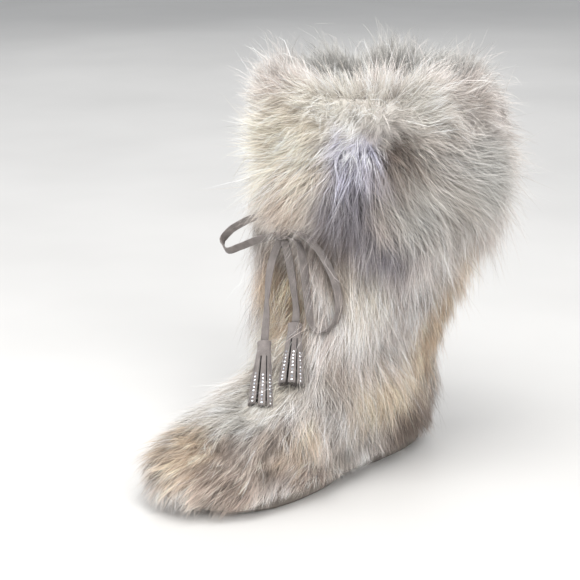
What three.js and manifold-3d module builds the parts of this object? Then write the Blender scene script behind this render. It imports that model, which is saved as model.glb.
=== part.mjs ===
// A slip-on fur boot for the left foot, in millimetres.
// X runs to the toe, Y to the wearer's left (the outer side of this foot), Z up from the floor.
// The origin is on the floor under the middle of the heel.
import * as THREE from "three";
import Module from "manifold-3d";

const wasm = await Module();
wasm.setup();

// Driving dimensions
const FOOT_LENGTH = 262;
const HEEL_BACK = -38;
const TOE_TIP = HEEL_BACK + FOOT_LENGTH;
const TOE_TIP_SIDE = -5;
const COLLAR_RISE = 262;
const WALL = 3;
const GAP = 0.3;
const SOLE_LEDGE = 2.5;
const SOLE_EDGE_ROUND = 2.5;
const INSOLE_THICKNESS = 5;
const TREAD_DEPTH = 2;
const TREAD_WIDTH = 4;
const TREAD_RIM = 11;
const HEEL_SLOTS = [-22, -9, 9, 22];
const FOREFOOT_SLOTS = [108, 122, 136, 150];
const STRAP_WIDTH = 6.4;
const STRAP_THICKNESS = 1.4;
const LEAD_DEPTH = 26.3;
const LEAD_TURN = -1 / 64;
const LEAD_HALF = 0.11;

// Points round each section of the last, and round the sole
const TURNS = 32;
const SOLE_POINTS = 56;

// Plan of the last at the sole: half widths on each side of the long axis, by share of the length
const PLAN = [
  { along: 0.03, lateral: 14, medial: 14 },
  { along: 0.08, lateral: 23, medial: 22.5 },
  { along: 0.16, lateral: 30, medial: 29 },
  { along: 0.28, lateral: 32.5, medial: 30 },
  { along: 0.42, lateral: 35.5, medial: 29.5 },
  { along: 0.55, lateral: 42, medial: 36 },
  { along: 0.66, lateral: 47, medial: 43 },
  { along: 0.76, lateral: 46, medial: 46 },
  { along: 0.86, lateral: 38, medial: 43.5 },
  { along: 0.94, lateral: 25, medial: 33 },
  { along: 0.985, lateral: 10, medial: 19 },
];

// Height of the top of the sole over the floor, with the heel's pitch and the toe spring
const FEATHER = [
  { x: -40, z: 20 },
  { x: 40, z: 19 },
  { x: 95, z: 15 },
  { x: 140, z: 13 },
  { x: 175, z: 14 },
  { x: 205, z: 18 },
  { x: 232, z: 24 },
];
const HEEL_FEATHER = 20;

// Underside of the sole: flat heel and forefoot on the floor, an arch between them, toe spring in front
const GROUND = [
  { x: -40, z: 0 },
  { x: 42, z: 0 },
  { x: 62, z: 2.5 },
  { x: 82, z: 2.5 },
  { x: 100, z: 0 },
  { x: 166, z: 0 },
  { x: 190, z: 2 },
  { x: 210, z: 5.5 },
  { x: 232, z: 11.5 },
];

// Top line of the foot over the sole, from the heel over the instep to the toe
const VAMP = [
  { x: -38, z: 25 },
  { x: 0, z: 40 },
  { x: 30, z: 70 },
  { x: 50, z: 120 },
  { x: 60, z: 160 },
  { x: 66, z: 140 },
  { x: 73, z: 108 },
  { x: 84, z: 84 },
  { x: 99, z: 68 },
  { x: 119, z: 57 },
  { x: 143, z: 49 },
  { x: 170, z: 43 },
  { x: 194, z: 37 },
  { x: 210, z: 30 },
  { x: 219, z: 22 },
  { x: TOE_TIP, z: 5 },
];

// Horizontal sections of heel and shaft, by rise over the sole
const SHAFT = [
  { rise: 0, front: 50, back: -37.5, half: 31.5 },
  { rise: 25, front: 52, back: -39.5, half: 32.5 },
  { rise: 55, front: 58, back: -36, half: 33.5 },
  { rise: 85, front: 63, back: -35, half: 36.5 },
  { rise: 120, front: 66, back: -39, half: 43 },
  { rise: 160, front: 68, back: -45, half: 50 },
  { rise: 200, front: 70, back: -51, half: 56 },
  { rise: 240, front: 73, back: -57, half: 62 },
  { rise: COLLAR_RISE, front: 75, back: -61, half: 66 },
];

// Rises at which the last is worked out. Four of them bound the furs and the groove of the tie.
const ANKLE_RISE = 90;
const GROOVE_BOTTOM = 173;
const GROOVE_TOP = 183;
const LEVELS = [
  0, 9, 19, 29, 39, 48, 57, 67, 78, ANKLE_RISE, 105, 124, 148,
  GROOVE_BOTTOM, GROOVE_TOP, 208, 236, COLLAR_RISE,
];

// Depth of the fur's pile over the hide, by rise over the sole
const FUR_DEPTH = [
  { rise: 0, depth: 8 },
  { rise: 12, depth: 13 },
  { rise: 28, depth: 17 },
  { rise: 49, depth: 20 },
  { rise: 66, depth: 22 },
  { rise: 90, depth: 23 },
  { rise: 124, depth: 25 },
  { rise: 157, depth: 30 },
  { rise: GROOVE_BOTTOM, depth: 34 },
  { rise: GROOVE_TOP, depth: 38 },
  { rise: 203, depth: 43 },
  { rise: 226, depth: 46 },
  { rise: 246, depth: 44 },
  { rise: COLLAR_RISE, depth: 38 },
];

// The pile of leg and cuff stands deeper or shallower towards one side, and is parted under the bow
const DEEP_TURN = 0.367;
const LEG_SHARE = -0.1;
const CUFF_SHARE = 0.14;
const PARTING_HALF = 0.05;
const PARTING_SHARE = 0.35;
const BARE_HALF = 0.13;

// Top of the cuff over the collar: a full roll that leans in over the mouth and ends on the rim
const CREST = [
  { rise: COLLAR_RISE + 11, depth: 36 },
  { rise: COLLAR_RISE + 23, depth: 27 },
  { rise: COLLAR_RISE + 30, depth: 13 },
  { rise: COLLAR_RISE + 28, depth: 0 },
  { rise: COLLAR_RISE + 19, depth: -10 },
  { rise: COLLAR_RISE + 7, depth: -10 },
  { rise: COLLAR_RISE + GAP, depth: -WALL },
];

// Rows of locks on each fur: where they root, how many go round, and how they stand
const VAMP_LOCKS = [
  { rise: 6, count: 13, length: 17, width: 14, lean: 0.2, forward: 0.2 },
  { rise: 24, count: 9, length: 34, width: 19, lean: 0.12, forward: 0.4 },
  { rise: 44, count: 7, length: 42, width: 22, lean: 0.12, forward: 0.5 },
  { rise: 66, count: 6, length: 46, width: 21, lean: 0.15, forward: 0.4 },
];
const SHAFT_LOCKS = [
  { rise: 112, count: 9, length: 22, width: 20, lean: 0.2, forward: 0 },
  { rise: 132, count: 8, length: 40, width: 22, lean: 0.1, forward: 0 },
  { rise: 153, count: 8, length: 44, width: 23, lean: 0.1, forward: 0 },
];
const CUFF_LOCKS = [
  { rise: 198, count: 12, length: 30, width: 22, lean: 0.2, forward: 0 },
  { rise: 220, count: 9, length: 46, width: 26, lean: 0.15, forward: 0 },
  { rise: 244, count: 8, length: 48, width: 26, lean: 0.2, forward: 0 },
];
const CREST_LOCKS = { count: 15, length: 29, width: 30, rise: COLLAR_RISE + 19, depth: 14, splay: 0.9 };
const SHAG = 0.06;
const CREST_SHAG = 2.5;
const FLOOR_CLEAR = 2;

// The bow, point by point from the knot
const KNOT = { x: 101, y: -9.5, z: 198, deep: 9, wide: 12, tall: 12 };
const LOOP_MEDIAL = {
  across: { x: 0.5, y: 0.1, z: 0.85 },
  points: [
    { x: 101, y: -15.1, z: 201.2 },
    { x: 100.5, y: -28.5, z: 206 },
    { x: 100, y: -41.7, z: 204.5 },
    { x: 99, y: -59.2, z: 196.6 },
    { x: 98, y: -74.7, z: 187.2 },
    { x: 98, y: -82.5, z: 177.9 },
    { x: 98.5, y: -78.2, z: 171.2 },
    { x: 100, y: -59.7, z: 177.5 },
    { x: 101.5, y: -40.4, z: 186 },
    { x: 102, y: -15, z: 194.9 },
  ],
};
const LOOP_LATERAL = {
  across: { x: 0.9, y: 0.1, z: 0.4 },
  points: [
    { x: 101, y: -4.1, z: 194.8 },
    { x: 101, y: 7, z: 193 },
    { x: 100, y: 12, z: 179.3 },
    { x: 99, y: 13.9, z: 160.1 },
    { x: 98.5, y: 16.4, z: 143.4 },
    { x: 98, y: 19.7, z: 128.5 },
    { x: 97, y: 25.2, z: 122.9 },
    { x: 95.5, y: 33.6, z: 125.1 },
    { x: 94, y: 41.9, z: 134.7 },
    { x: 93, y: 44.1, z: 145.4 },
    { x: 93, y: 40.9, z: 162.4 },
    { x: 95.5, y: 33.7, z: 179.1 },
    { x: 98.5, y: 24.8, z: 191.6 },
    { x: 101, y: 13.2, z: 199.5 },
    { x: 101, y: -3.9, z: 201.9 },
  ],
};
const END_MEDIAL = {
  across: { x: -0.5, y: 0.85, z: 0 },
  points: [
    { x: 101, y: -12, z: 191.7 },
    { x: 103, y: -18, z: 177 },
    { x: 106, y: -19.5, z: 164 },
    { x: 112, y: -16.4, z: 143.8 },
    { x: 117, y: -12.6, z: 127.5 },
    { x: 120.7, y: -10.5, z: 113.5 },
  ],
};
const END_LATERAL = {
  across: { x: -0.5, y: 0.85, z: 0 },
  points: [
    { x: 101, y: -7, z: 191.7 },
    { x: 100, y: -2.9, z: 175 },
    { x: 99.5, y: 1.4, z: 151.3 },
    { x: 100, y: 4.2, z: 136 },
    { x: 100.8, y: 4.1, z: 126.8 },
  ],
};

// Tassels: a rolled sleeve whose lower part is cut into strips
const TASSEL = {
  sleeve: 15,
  radius: 5.5,
  flatness: 0.65,
  strips: 7,
  stripWidth: 6,
  stripThick: 1.6,
  spread: 9,
};
const TASSEL_MEDIAL = { top: { x: 121, y: -10.4, z: 112.3 }, tip: { x: 148, y: 12.6, z: 68.9 } };
const TASSEL_LATERAL = { top: { x: 101, y: 3.8, z: 125.8 }, tip: { x: 125, y: 22.5, z: 84 } };

// The value of a table's column at a place along another column, with straight lines between rows
function lookUp(rows, at, place, column) {
  const last = rows.length - 1;
  if (place <= rows[0][at]) return rows[0][column];
  if (place >= rows[last][at]) return rows[last][column];
  const next = rows.findIndex((row) => row[at] > place);
  const low = rows[next - 1];
  const high = rows[next];
  const share = (place - low[at]) / (high[at] - low[at]);
  return low[column] + (high[column] - low[column]) * share;
}

// The same rows with a smooth curve through them
function smoothRows(rows, at, column, pieces = 120) {
  const curve = new THREE.CatmullRomCurve3(
    rows.map((row) => new THREE.Vector3(row[at], row[column], 0)),
    false,
    "centripetal",
  );
  return curve.getPoints(pieces).map((p) => ({ [at]: p.x, [column]: p.y }));
}

const feather = smoothRows(FEATHER, "x", "z");
const vamp = smoothRows(VAMP, "x", "z");

// One side of the plan, from the back of the heel round to the toe tip
function planSide(side, sign) {
  const inner = PLAN.map((row) => ({ x: HEEL_BACK + FOOT_LENGTH * row.along, y: sign * row[side] }));
  const rows = [{ x: HEEL_BACK, y: 0 }, ...inner, { x: TOE_TIP, y: TOE_TIP_SIDE }];
  return smoothRows(rows, "x", "y", 160);
}

const lateralEdge = planSide("lateral", 1);
const medialEdge = planSide("medial", -1);

// Whether a point at a rise over the sole is inside the foot part of the last
function insideFoot(x, y, rise) {
  if (x <= HEEL_BACK || x >= TOE_TIP) return false;
  const roundness = 2.3;
  const left = lookUp(lateralEdge, "x", x, "y");
  const right = lookUp(medialEdge, "x", x, "y");
  const middle = (left + right) / 2;
  const half = (left - right) / 2;
  const top = lookUp(vamp, "x", x, "z");
  const across = Math.abs(y - middle) / half;
  return across ** roundness + (rise / top) ** roundness < 1;
}

// Whether a point at a rise over the sole is inside the heel and shaft part of the last
function insideShaft(x, y, rise) {
  const roundness = 2.15;
  const front = lookUp(SHAFT, "rise", rise, "front");
  const back = lookUp(SHAFT, "rise", rise, "back");
  const half = lookUp(SHAFT, "rise", rise, "half");
  const along = Math.abs(x - (front + back) / 2) / ((front - back) / 2);
  return along ** roundness + (Math.abs(y) / half) ** roundness < 1;
}

const insideLast = (x, y, rise) => insideFoot(x, y, rise) || insideShaft(x, y, rise);

// How far the last reaches from a point along a direction
function reachOf(start, direction, rise) {
  const step = 2;
  let outside = 260;
  const isInside = (r) => insideLast(start.x + direction.x * r, start.y + direction.y * r, rise);
  while (outside > step && !isInside(outside - step)) outside -= step;
  let inside = outside - step;
  for (let halving = 0; halving < 12; halving++) {
    const middle = (inside + outside) / 2;
    if (isInside(middle)) inside = middle;
    else outside = middle;
  }
  return inside;
}

// One horizontal section of the last, with its points closer together at toe and heel
function section(rise) {
  const axis = new THREE.Vector2(20, 0);
  const front = axis.x + reachOf(axis, new THREE.Vector2(1, 0), rise);
  const back = axis.x - reachOf(axis, new THREE.Vector2(-1, 0), rise);
  const centre = new THREE.Vector2((front + back) / 2, 0);
  const slimness = Math.min(1, 100 / (front - back));
  return Array.from({ length: TURNS }, (_, i) => {
    const angle = (2 * Math.PI * i) / TURNS;
    const direction = new THREE.Vector2(Math.cos(angle), slimness * Math.sin(angle)).normalize();
    const reach = reachOf(centre, direction, rise);
    return new THREE.Vector3(centre.x + direction.x * reach, centre.y + direction.y * reach, rise);
  });
}

const wrap = (i) => ((i % TURNS) + TURNS) % TURNS;

// Each point moved towards the mean of its neighbours, round the section and between sections
function softened(rows) {
  const last = rows.length - 1;
  const round = rows.map((row) =>
    row.map((p, i) => {
      const mean = row[wrap(i - 1)].clone().add(row[wrap(i + 1)]).divideScalar(2);
      return p.clone().lerp(mean, 0.5);
    }),
  );
  return round.map((row, k) =>
    row.map((p, i) => {
      if (k === 0 || k === last) return p;
      const mean = round[k - 1][i].clone().add(round[k + 1][i]).divideScalar(2);
      const soft = p.clone().lerp(mean, 0.4);
      return soft.setZ(p.z);
    }),
  );
}

const lastRows = softened(LEVELS.map(section));

// Outward normals of the last. The rims at sole and collar have level ones.
const lastNormals = lastRows.map((row, k) => {
  const below = lastRows[Math.max(0, k - 1)];
  const above = lastRows[Math.min(LEVELS.length - 1, k + 1)];
  return row.map((_, i) => {
    const round = row[wrap(i + 1)].clone().sub(row[wrap(i - 1)]);
    const up = above[i].clone().sub(below[i]);
    const normal = round.cross(up);
    if (k === 0 || k === LEVELS.length - 1) normal.setZ(0);
    return normal.normalize();
  });
});

// How much higher a point stands than its rise, from the sole under it
function lift(x, rise) {
  const fade = THREE.MathUtils.smoothstep(rise, 40, 130);
  return THREE.MathUtils.lerp(lookUp(feather, "x", x, "z"), HEEL_FEATHER, fade);
}

// Row and share between rows of the last at a rise
function rowAt(rise) {
  const inside = THREE.MathUtils.clamp(rise, 0, COLLAR_RISE);
  const next = Math.max(1, LEVELS.findIndex((level) => level >= inside));
  const share = (inside - LEVELS[next - 1]) / (LEVELS[next] - LEVELS[next - 1]);
  return { row: next - 1, share };
}

function between(rows, rise, turn) {
  const { row, share } = rowAt(rise);
  const place = wrap(turn * TURNS);
  const i = Math.floor(place);
  const mix = (k) => rows[k][i].clone().lerp(rows[k][wrap(i + 1)], place - i);
  return mix(row).lerp(mix(row + 1), share);
}

const normalAt = (rise, turn) => between(lastNormals, rise, turn).normalize();

// The point at a depth over the skin of the last. Turn goes from the toe by the outer side all round.
function skin(rise, turn, depth) {
  const flat = between(lastRows, rise, turn);
  const point = flat.addScaledVector(normalAt(rise, turn), depth);
  const beyond = Math.max(0, rise - COLLAR_RISE) + Math.min(0, rise);
  point.z += lift(point.x, rise) + beyond;
  return point;
}

// Solids

function solidOf(vertices, triangles) {
  const vertProperties = new Float32Array(vertices.flatMap((v) => [v.x, v.y, v.z]));
  const mesh = new wasm.Mesh({ numProp: 3, vertProperties, triVerts: new Uint32Array(triangles.flat()) });
  return new wasm.Manifold(mesh);
}

function geometryOf(solid) {
  const { vertProperties, triVerts } = solid.getMesh();
  const geometry = new THREE.BufferGeometry();
  geometry.setAttribute("position", new THREE.BufferAttribute(new Float32Array(vertProperties), 3));
  geometry.setIndex(new THREE.BufferAttribute(new Uint32Array(triVerts), 1));
  const faceted = geometry.toNonIndexed();
  faceted.computeVertexNormals();
  return faceted;
}

// A wall between outer and inner rings of points, both from the bottom up. Both split their quads alike.
function ringWall(outer, inner) {
  const count = outer[0].length;
  const corner = (start, k, i) => (start + k) * count + (i % count);
  const triangles = [];
  const face = (start, rings, outward) => {
    for (let k = 0; k + 1 < rings; k++) {
      for (let i = 0; i < count; i++) {
        const low = corner(start, k, i);
        const high = corner(start, k + 1, i + 1);
        const pair = [[low, corner(start, k, i + 1), high], [low, high, corner(start, k + 1, i)]];
        triangles.push(...pair.map((t) => (outward ? t : t.reverse())));
      }
    }
  };
  const rim = (outerRow, innerRow, upward) => {
    for (let i = 0; i < count; i++) {
      const a = corner(0, outerRow, i);
      const b = corner(outer.length, innerRow, i + 1);
      const pair = [[a, corner(0, outerRow, i + 1), b], [a, b, corner(outer.length, innerRow, i)]];
      triangles.push(...pair.map((t) => (upward ? t : t.reverse())));
    }
  };
  face(0, outer.length, true);
  face(outer.length, inner.length, false);
  rim(0, 0, false);
  rim(outer.length - 1, inner.length - 1, true);
  return solidOf([...outer, ...inner].flat(), triangles);
}

// A filled body from rings of points, closed below and above by strips from side to side
function ringBody(rings) {
  const count = rings[0].length;
  const triangles = [];
  for (let k = 0; k + 1 < rings.length; k++) {
    for (let i = 0; i < count; i++) {
      const j = (i + 1) % count;
      const low = k * count;
      const high = low + count;
      triangles.push([low + i, low + j, high + j], [low + i, high + j, high + i]);
    }
  }
  const top = (rings.length - 1) * count;
  for (let i = 0; i < count / 2; i++) {
    const near = [i, i + 1];
    const far = [(count - i) % count, count - i - 1];
    const quad = [near[0], near[1], far[1], far[0]];
    for (const [a, b, c] of [[0, 1, 2], [0, 2, 3]]) {
      const corners = [quad[a], quad[b], quad[c]];
      if (new Set(corners).size < 3) continue;
      triangles.push(corners.map((v) => v + top), [...corners].reverse());
    }
  }
  return solidOf(rings.flat(), triangles);
}

const ring = (place) => Array.from({ length: TURNS }, (_, i) => place(i / TURNS));
const skinRing = (rise, depth) => ring((turn) => skin(rise, turn, depth));

const boot = new THREE.Group();

function addPiece(name, solid, { color, roughness, metalness = 0 }) {
  const material = new THREE.MeshStandardMaterial({ color, roughness, metalness });
  const mesh = new THREE.Mesh(geometryOf(solid), material);
  mesh.name = name;
  boot.add(mesh);
}

const RUBBER = { color: 0x8d8780, roughness: 0.8 };
const FELT = { color: 0xcfc6b8, roughness: 0.95 };
const HIDE = { color: 0xc9bba6, roughness: 0.9 };
const FUR = { color: 0xd6cbbb, roughness: 0.95 };
const SUEDE = { color: 0x9d9791, roughness: 0.95 };

// Upper: one hollow wall, open at the collar and over the sole
function upper() {
  return ringWall(
    LEVELS.map((rise) => skinRing(rise, 0)),
    LEVELS.map((rise) => skinRing(rise, -WALL)),
  );
}

// Insole: a felt plate on the sole, inside the upper
function insole() {
  const inset = -(WALL + GAP);
  const under = skinRing(0, inset).map((p) => p.setZ(p.z + GAP));
  return ringBody([under, skinRing(INSOLE_THICKNESS, inset)]);
}

// Outsole: plan of the last with a ledge round it, rounded lower edge, arch, toe spring and tread slots
function outsole() {
  const ground = (p) => p.setZ(lookUp(GROUND, "x", p.x, "z"));
  const outline = (depth) => {
    const curve = new THREE.CatmullRomCurve3(skinRing(0, depth), true);
    return curve.getPoints(SOLE_POINTS).slice(1);
  };
  const edge = (depth, height) => outline(depth).map((p) => ground(p).setZ(p.z + height));
  const top = outline(SOLE_LEDGE).map((p) => p.setZ(lookUp(feather, "x", p.x, "z") - GAP));
  const rings = [edge(SOLE_LEDGE - SOLE_EDGE_ROUND, 0), edge(SOLE_LEDGE, SOLE_EDGE_ROUND), top];
  return treadSlots().reduce((sole, slot) => sole.subtract(slot), ringBody(rings));
}

// Slots across heel and forefoot, inside a plain rim
function treadSlots() {
  return [...HEEL_SLOTS, ...FOREFOOT_SLOTS].map((x) => {
    const left = lookUp(lateralEdge, "x", x, "y") - TREAD_RIM;
    const right = lookUp(medialEdge, "x", x, "y") + TREAD_RIM;
    const box = new THREE.BoxGeometry(TREAD_WIDTH, left - right, 2 * TREAD_DEPTH);
    box.translate(x, (left + right) / 2, 0);
    return geometrySolid(box);
  });
}

// A closed shape as a solid
function geometrySolid(geometry) {
  const position = geometry.getAttribute("position");
  const keys = new Map();
  const vertices = [];
  const index = Array.from(geometry.index ? geometry.index.array : position.array.keys(), (i) => {
    const v = new THREE.Vector3().fromBufferAttribute(position, i);
    const key = v.toArray().map((c) => c.toFixed(4)).join();
    if (!keys.has(key)) keys.set(key, vertices.push(v) - 1);
    return keys.get(key);
  });
  const triangles = [];
  for (let i = 0; i < index.length; i += 3) triangles.push(index.slice(i, i + 3));
  return solidOf(vertices, triangles);
}

// Furs

// Depth of the pile at a place
function pileDepth(rise, turn) {
  const depth = lookUp(FUR_DEPTH, "rise", rise, "depth");
  const angle = 2 * Math.PI * turn;
  const foot = 0.92 - 0.2 * Math.cos(angle);
  const share = THREE.MathUtils.lerp(LEG_SHARE, CUFF_SHARE, THREE.MathUtils.smoothstep(rise, 150, 200));
  const leg = 1 + share * Math.cos(angle - 2 * Math.PI * DEEP_TURN);
  const side = THREE.MathUtils.lerp(foot, leg, THREE.MathUtils.smoothstep(rise, 50, 100));
  const fromFront = Math.min(turn, 1 - turn) / PARTING_HALF;
  const band = THREE.MathUtils.smoothstep(rise, 70, 100) * (1 - THREE.MathUtils.smoothstep(rise, 183, 208));
  return depth * side * (1 - PARTING_SHARE * band * Math.exp(-(fromFront ** 2)));
}

// A ring of the pile's face, shaggy from point to point
function pileRing(rise, shag) {
  const ripple = (turn) => 1 + shag * Math.cos(Math.PI * turn * TURNS);
  return ring((turn) => skin(rise, turn, pileDepth(rise, turn) * ripple(turn)));
}

// The rings of the pile's face between two rises. The first and last meet the next fur without shag.
function pileFace(levels) {
  const last = levels.length - 1;
  return levels.map((rise, k) => pileRing(rise, k === 0 || k === last ? 0 : SHAG * (-1) ** k));
}

const levelsWithin = (low, high) => [low, ...LEVELS.filter((rise) => rise > low && rise < high), high];

// Even numbers between 0 and 1 that come out the same each time
let seed = 71;
function chance() {
  seed = (seed * 1664525 + 1013904223) % 4294967296;
  return seed / 4294967296;
}
const spread = (middle, share) => middle * (1 + share * (2 * chance() - 1));

// A tapering lock that roots in the pile, bows outwards and ends in a point
function lock(root, outward, flow, length, width) {
  const bow = root.clone().addScaledVector(outward, 0.16 * length).addScaledVector(flow, 0.45 * length);
  const tip = root.clone().addScaledVector(outward, 0.14 * length).addScaledVector(flow, length);
  const curve = new THREE.QuadraticBezierCurve3(root, bow, tip);
  const across = outward.clone().cross(flow).normalize();
  const thick = flow.clone().cross(across).normalize();
  const corners = (share, size) => {
    const at = curve.getPoint(share);
    const side = size / 2;
    const face = size / 5;
    return [
      at.clone().addScaledVector(across, side),
      at.clone().addScaledVector(thick, face),
      at.clone().addScaledVector(across, -side),
      at.clone().addScaledVector(thick, -face),
    ];
  };
  const vertices = [...corners(0, 0.7 * width), ...corners(0.5, width), tip];
  const triangles = [[2, 1, 0], [3, 2, 0]];
  for (let i = 0; i < 4; i++) {
    const j = (i + 1) % 4;
    triangles.push([i, j, 4 + j], [i, 4 + j, 4 + i], [4 + i, 4 + j, 8]);
  }
  return solidOf(vertices, triangles);
}

// A row of locks round the boot, none of them under the bow
function lockRow({ rise, count, length, width, lean, forward }, bareHalf) {
  const locks = [];
  const start = chance();
  for (let i = 0; i < count; i++) {
    const turn = ((i + start + 0.4 * chance()) / count) % 1;
    const here = rise + 5 * (chance() - 0.5);
    if (Math.min(turn, 1 - turn) < bareHalf) continue;
    const outward = normalAt(here, turn);
    const down = skin(here - 2, turn, 5).sub(skin(here + 2, turn, 5)).normalize();
    const ahead = new THREE.Vector3(forward, 0, 0);
    ahead.addScaledVector(outward, -ahead.dot(outward));
    const flow = down.add(ahead).normalize().addScaledVector(outward, lean).normalize();
    const root = skin(here, turn, pileDepth(here, turn) - 0.2 * width);
    locks.push(lock(root, outward, flow, spread(length, 0.2), spread(width, 0.15)));
  }
  return locks;
}

// Locks that stand up and outwards along the crest of the cuff
function crestLocks() {
  const { count, length, width, rise, depth, splay } = CREST_LOCKS;
  return Array.from({ length: count }, (_, i) => {
    const turn = (i + 0.5 * chance()) / count;
    const outward = normalAt(rise, turn);
    const flow = new THREE.Vector3(0, 0, 1).addScaledVector(outward, spread(splay, 0.6)).normalize();
    return lock(skin(rise, turn, depth), outward, flow, spread(length, 0.25), width);
  });
}

const fuse = (body, more) => more.reduce((whole, piece) => whole.add(piece), body);

// The pile of a fur between two rises, round the hide
function pile(low, high) {
  const levels = levelsWithin(low, high);
  return ringWall(pileFace(levels), levels.map((rise) => skinRing(rise, GAP)));
}

// The largest body, without the crumbs a cut leaves
function mainBody(solid) {
  return solid.decompose().reduce((most, body) => (body.volume() > most.volume() ? body : most));
}

// Fur of the foot, cut back to the sole's edge, the floor and the beds of the tassels
function vampFur() {
  const locks = VAMP_LOCKS.flatMap((row) => lockRow(row, row.rise > 60 ? BARE_HALF : 0));
  const edge = skinRing(0, SOLE_LEDGE + GAP);
  const soleRoom = ringBody([edge.map((p) => p.clone().setZ(-10)), edge]);
  const floor = new THREE.BoxGeometry(600, 400, 40);
  floor.translate(50, 0, FLOOR_CLEAR - 20);
  const cuts = [soleRoom, geometrySolid(floor), tasselBed(TASSEL_MEDIAL), tasselBed(TASSEL_LATERAL)];
  return mainBody(cuts.reduce((fur, cut) => fur.subtract(cut), fuse(pile(0, ANKLE_RISE), locks)));
}

// Fur of the leg
function shaftFur() {
  const locks = SHAFT_LOCKS.flatMap((row) => lockRow(row, BARE_HALF));
  return fuse(pile(ANKLE_RISE + GAP, GROOVE_BOTTOM), locks);
}

// The rings of the cuff's crest, tufted from point to point. The last lies on the rim without tufts.
function crestFace() {
  return CREST.map(({ rise, depth }, k) => {
    const height = k === CREST.length - 1 ? 0 : CREST_SHAG * (-1) ** k;
    const tuft = (turn) => height * Math.cos(Math.PI * turn * TURNS);
    return ring((turn) => skin(rise + tuft(turn), turn, depth + tuft(turn)));
  });
}

// Cuff: a deep pile that rises over the collar and turns in over its rim
function cuffFur() {
  const levels = levelsWithin(GROOVE_TOP, COLLAR_RISE);
  const inner = [...levels, COLLAR_RISE + GAP].map((rise) => skinRing(rise, GAP));
  const body = ringWall([...pileFace(levels), ...crestFace()], inner);
  const locks = CUFF_LOCKS.flatMap((row) => lockRow(row, row.rise < 230 ? BARE_HALF : 0));
  return fuse(fuse(body, locks), crestLocks());
}

// Tie

// Flat band in the groove under the cuff, led out to the knot in front
function tieBand() {
  const middle = (GROOVE_BOTTOM + GROOVE_TOP) / 2;
  const points = 2 * TURNS;
  const edge = (side, face) =>
    Array.from({ length: points }, (_, i) => {
      const turn = i / points;
      const away = Math.abs(turn - LEAD_TURN - Math.round(turn - LEAD_TURN));
      const nearness = Math.max(0, 1 - away / LEAD_HALF);
      return skin(middle + (side * STRAP_WIDTH) / 2, turn, GAP + LEAD_DEPTH * nearness ** 1.5 + face);
    });
  return ringWall([edge(-1, STRAP_THICKNESS), edge(1, STRAP_THICKNESS)], [edge(-1, 0), edge(1, 0)]);
}

function knot() {
  const ball = new THREE.SphereGeometry(0.5, 12, 8);
  ball.scale(KNOT.deep, KNOT.wide, KNOT.tall);
  ball.translate(KNOT.x, KNOT.y, KNOT.z);
  return geometrySolid(ball);
}

const vector = ({ x, y, z }) => new THREE.Vector3(x, y, z);

// Signs of the corners of a flat section, in turn
const CORNERS = [[1, 1], [-1, 1], [-1, -1], [1, -1]];

// A flat strap along a line of points
function strap({ across, points }) {
  const curve = new THREE.CatmullRomCurve3(points.map(vector), false, "centripetal");
  const steps = 2 * points.length;
  const rings = Array.from({ length: steps + 1 }, (_, i) => {
    const at = curve.getPointAt(i / steps);
    const along = curve.getTangentAt(i / steps);
    const wide = vector(across).addScaledVector(along, -vector(across).dot(along)).normalize();
    const thin = along.clone().cross(wide);
    return CORNERS.map(([w, t]) => {
      const corner = at.clone().addScaledVector(wide, (w * STRAP_WIDTH) / 2);
      return corner.addScaledVector(thin, (t * STRAP_THICKNESS) / 2);
    });
  });
  return ringBody(rings);
}

// The axes of a tassel: along it, across its broad face, and through it
function tasselAxes({ top, tip }) {
  const along = vector(tip).sub(vector(top));
  const length = along.length();
  along.normalize();
  const wide = vector(END_MEDIAL.across);
  wide.addScaledVector(along, -wide.dot(along)).normalize();
  const thin = along.clone().cross(wide);
  const place = (down, w, t) =>
    vector(top).addScaledVector(along, down).addScaledVector(wide, w).addScaledVector(thin, t);
  return { length, place };
}

// An oval ring across a tassel
function tasselRing({ place }, down, radius, thinner) {
  return Array.from({ length: 12 }, (_, i) => {
    const angle = (2 * Math.PI * i) / 12;
    return place(down, radius * Math.cos(angle), thinner * Math.sin(angle));
  });
}

function tassel(ends) {
  const axes = tasselAxes(ends);
  const { sleeve, radius, flatness, strips, stripWidth, stripThick, spread: reach } = TASSEL;
  const oval = (down, r) => tasselRing(axes, down, r, r * flatness);
  const body = ringBody([oval(0, 0.7 * radius), oval(2, 0.95 * radius), oval(sleeve, 1.1 * radius)]);
  const cut = Array.from({ length: strips }, (_, i) => {
    const angle = (2 * Math.PI * (i + 0.5)) / strips;
    const out = new THREE.Vector2(Math.cos(angle), flatness * Math.sin(angle));
    const side = new THREE.Vector2(-Math.sin(angle), flatness * Math.cos(angle)).normalize();
    const face = new THREE.Vector2(side.y, -side.x);
    const stripEnd = (down, r) =>
      CORNERS.map(([f, s]) => {
        const at = out.clone().multiplyScalar(r);
        at.addScaledVector(face, (f * stripThick) / 2).addScaledVector(side, (s * stripWidth) / 2);
        return axes.place(down, at.x, at.y);
      });
    const end = spread(axes.length - 1, 0.02);
    return ringBody([stripEnd(sleeve - 5, 0.85 * radius), stripEnd(end, reach - 1)]);
  });
  return fuse(body, cut);
}

// The room a tassel takes in the fur it lies on
function tasselBed(ends) {
  const axes = tasselAxes(ends);
  const clear = 2.5;
  const reach = TASSEL.spread + clear;
  const oval = (down) => tasselRing(axes, down, reach + 1, TASSEL.flatness * TASSEL.spread + clear);
  return ringBody([oval(-2), oval(axes.length + clear)]);
}

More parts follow.
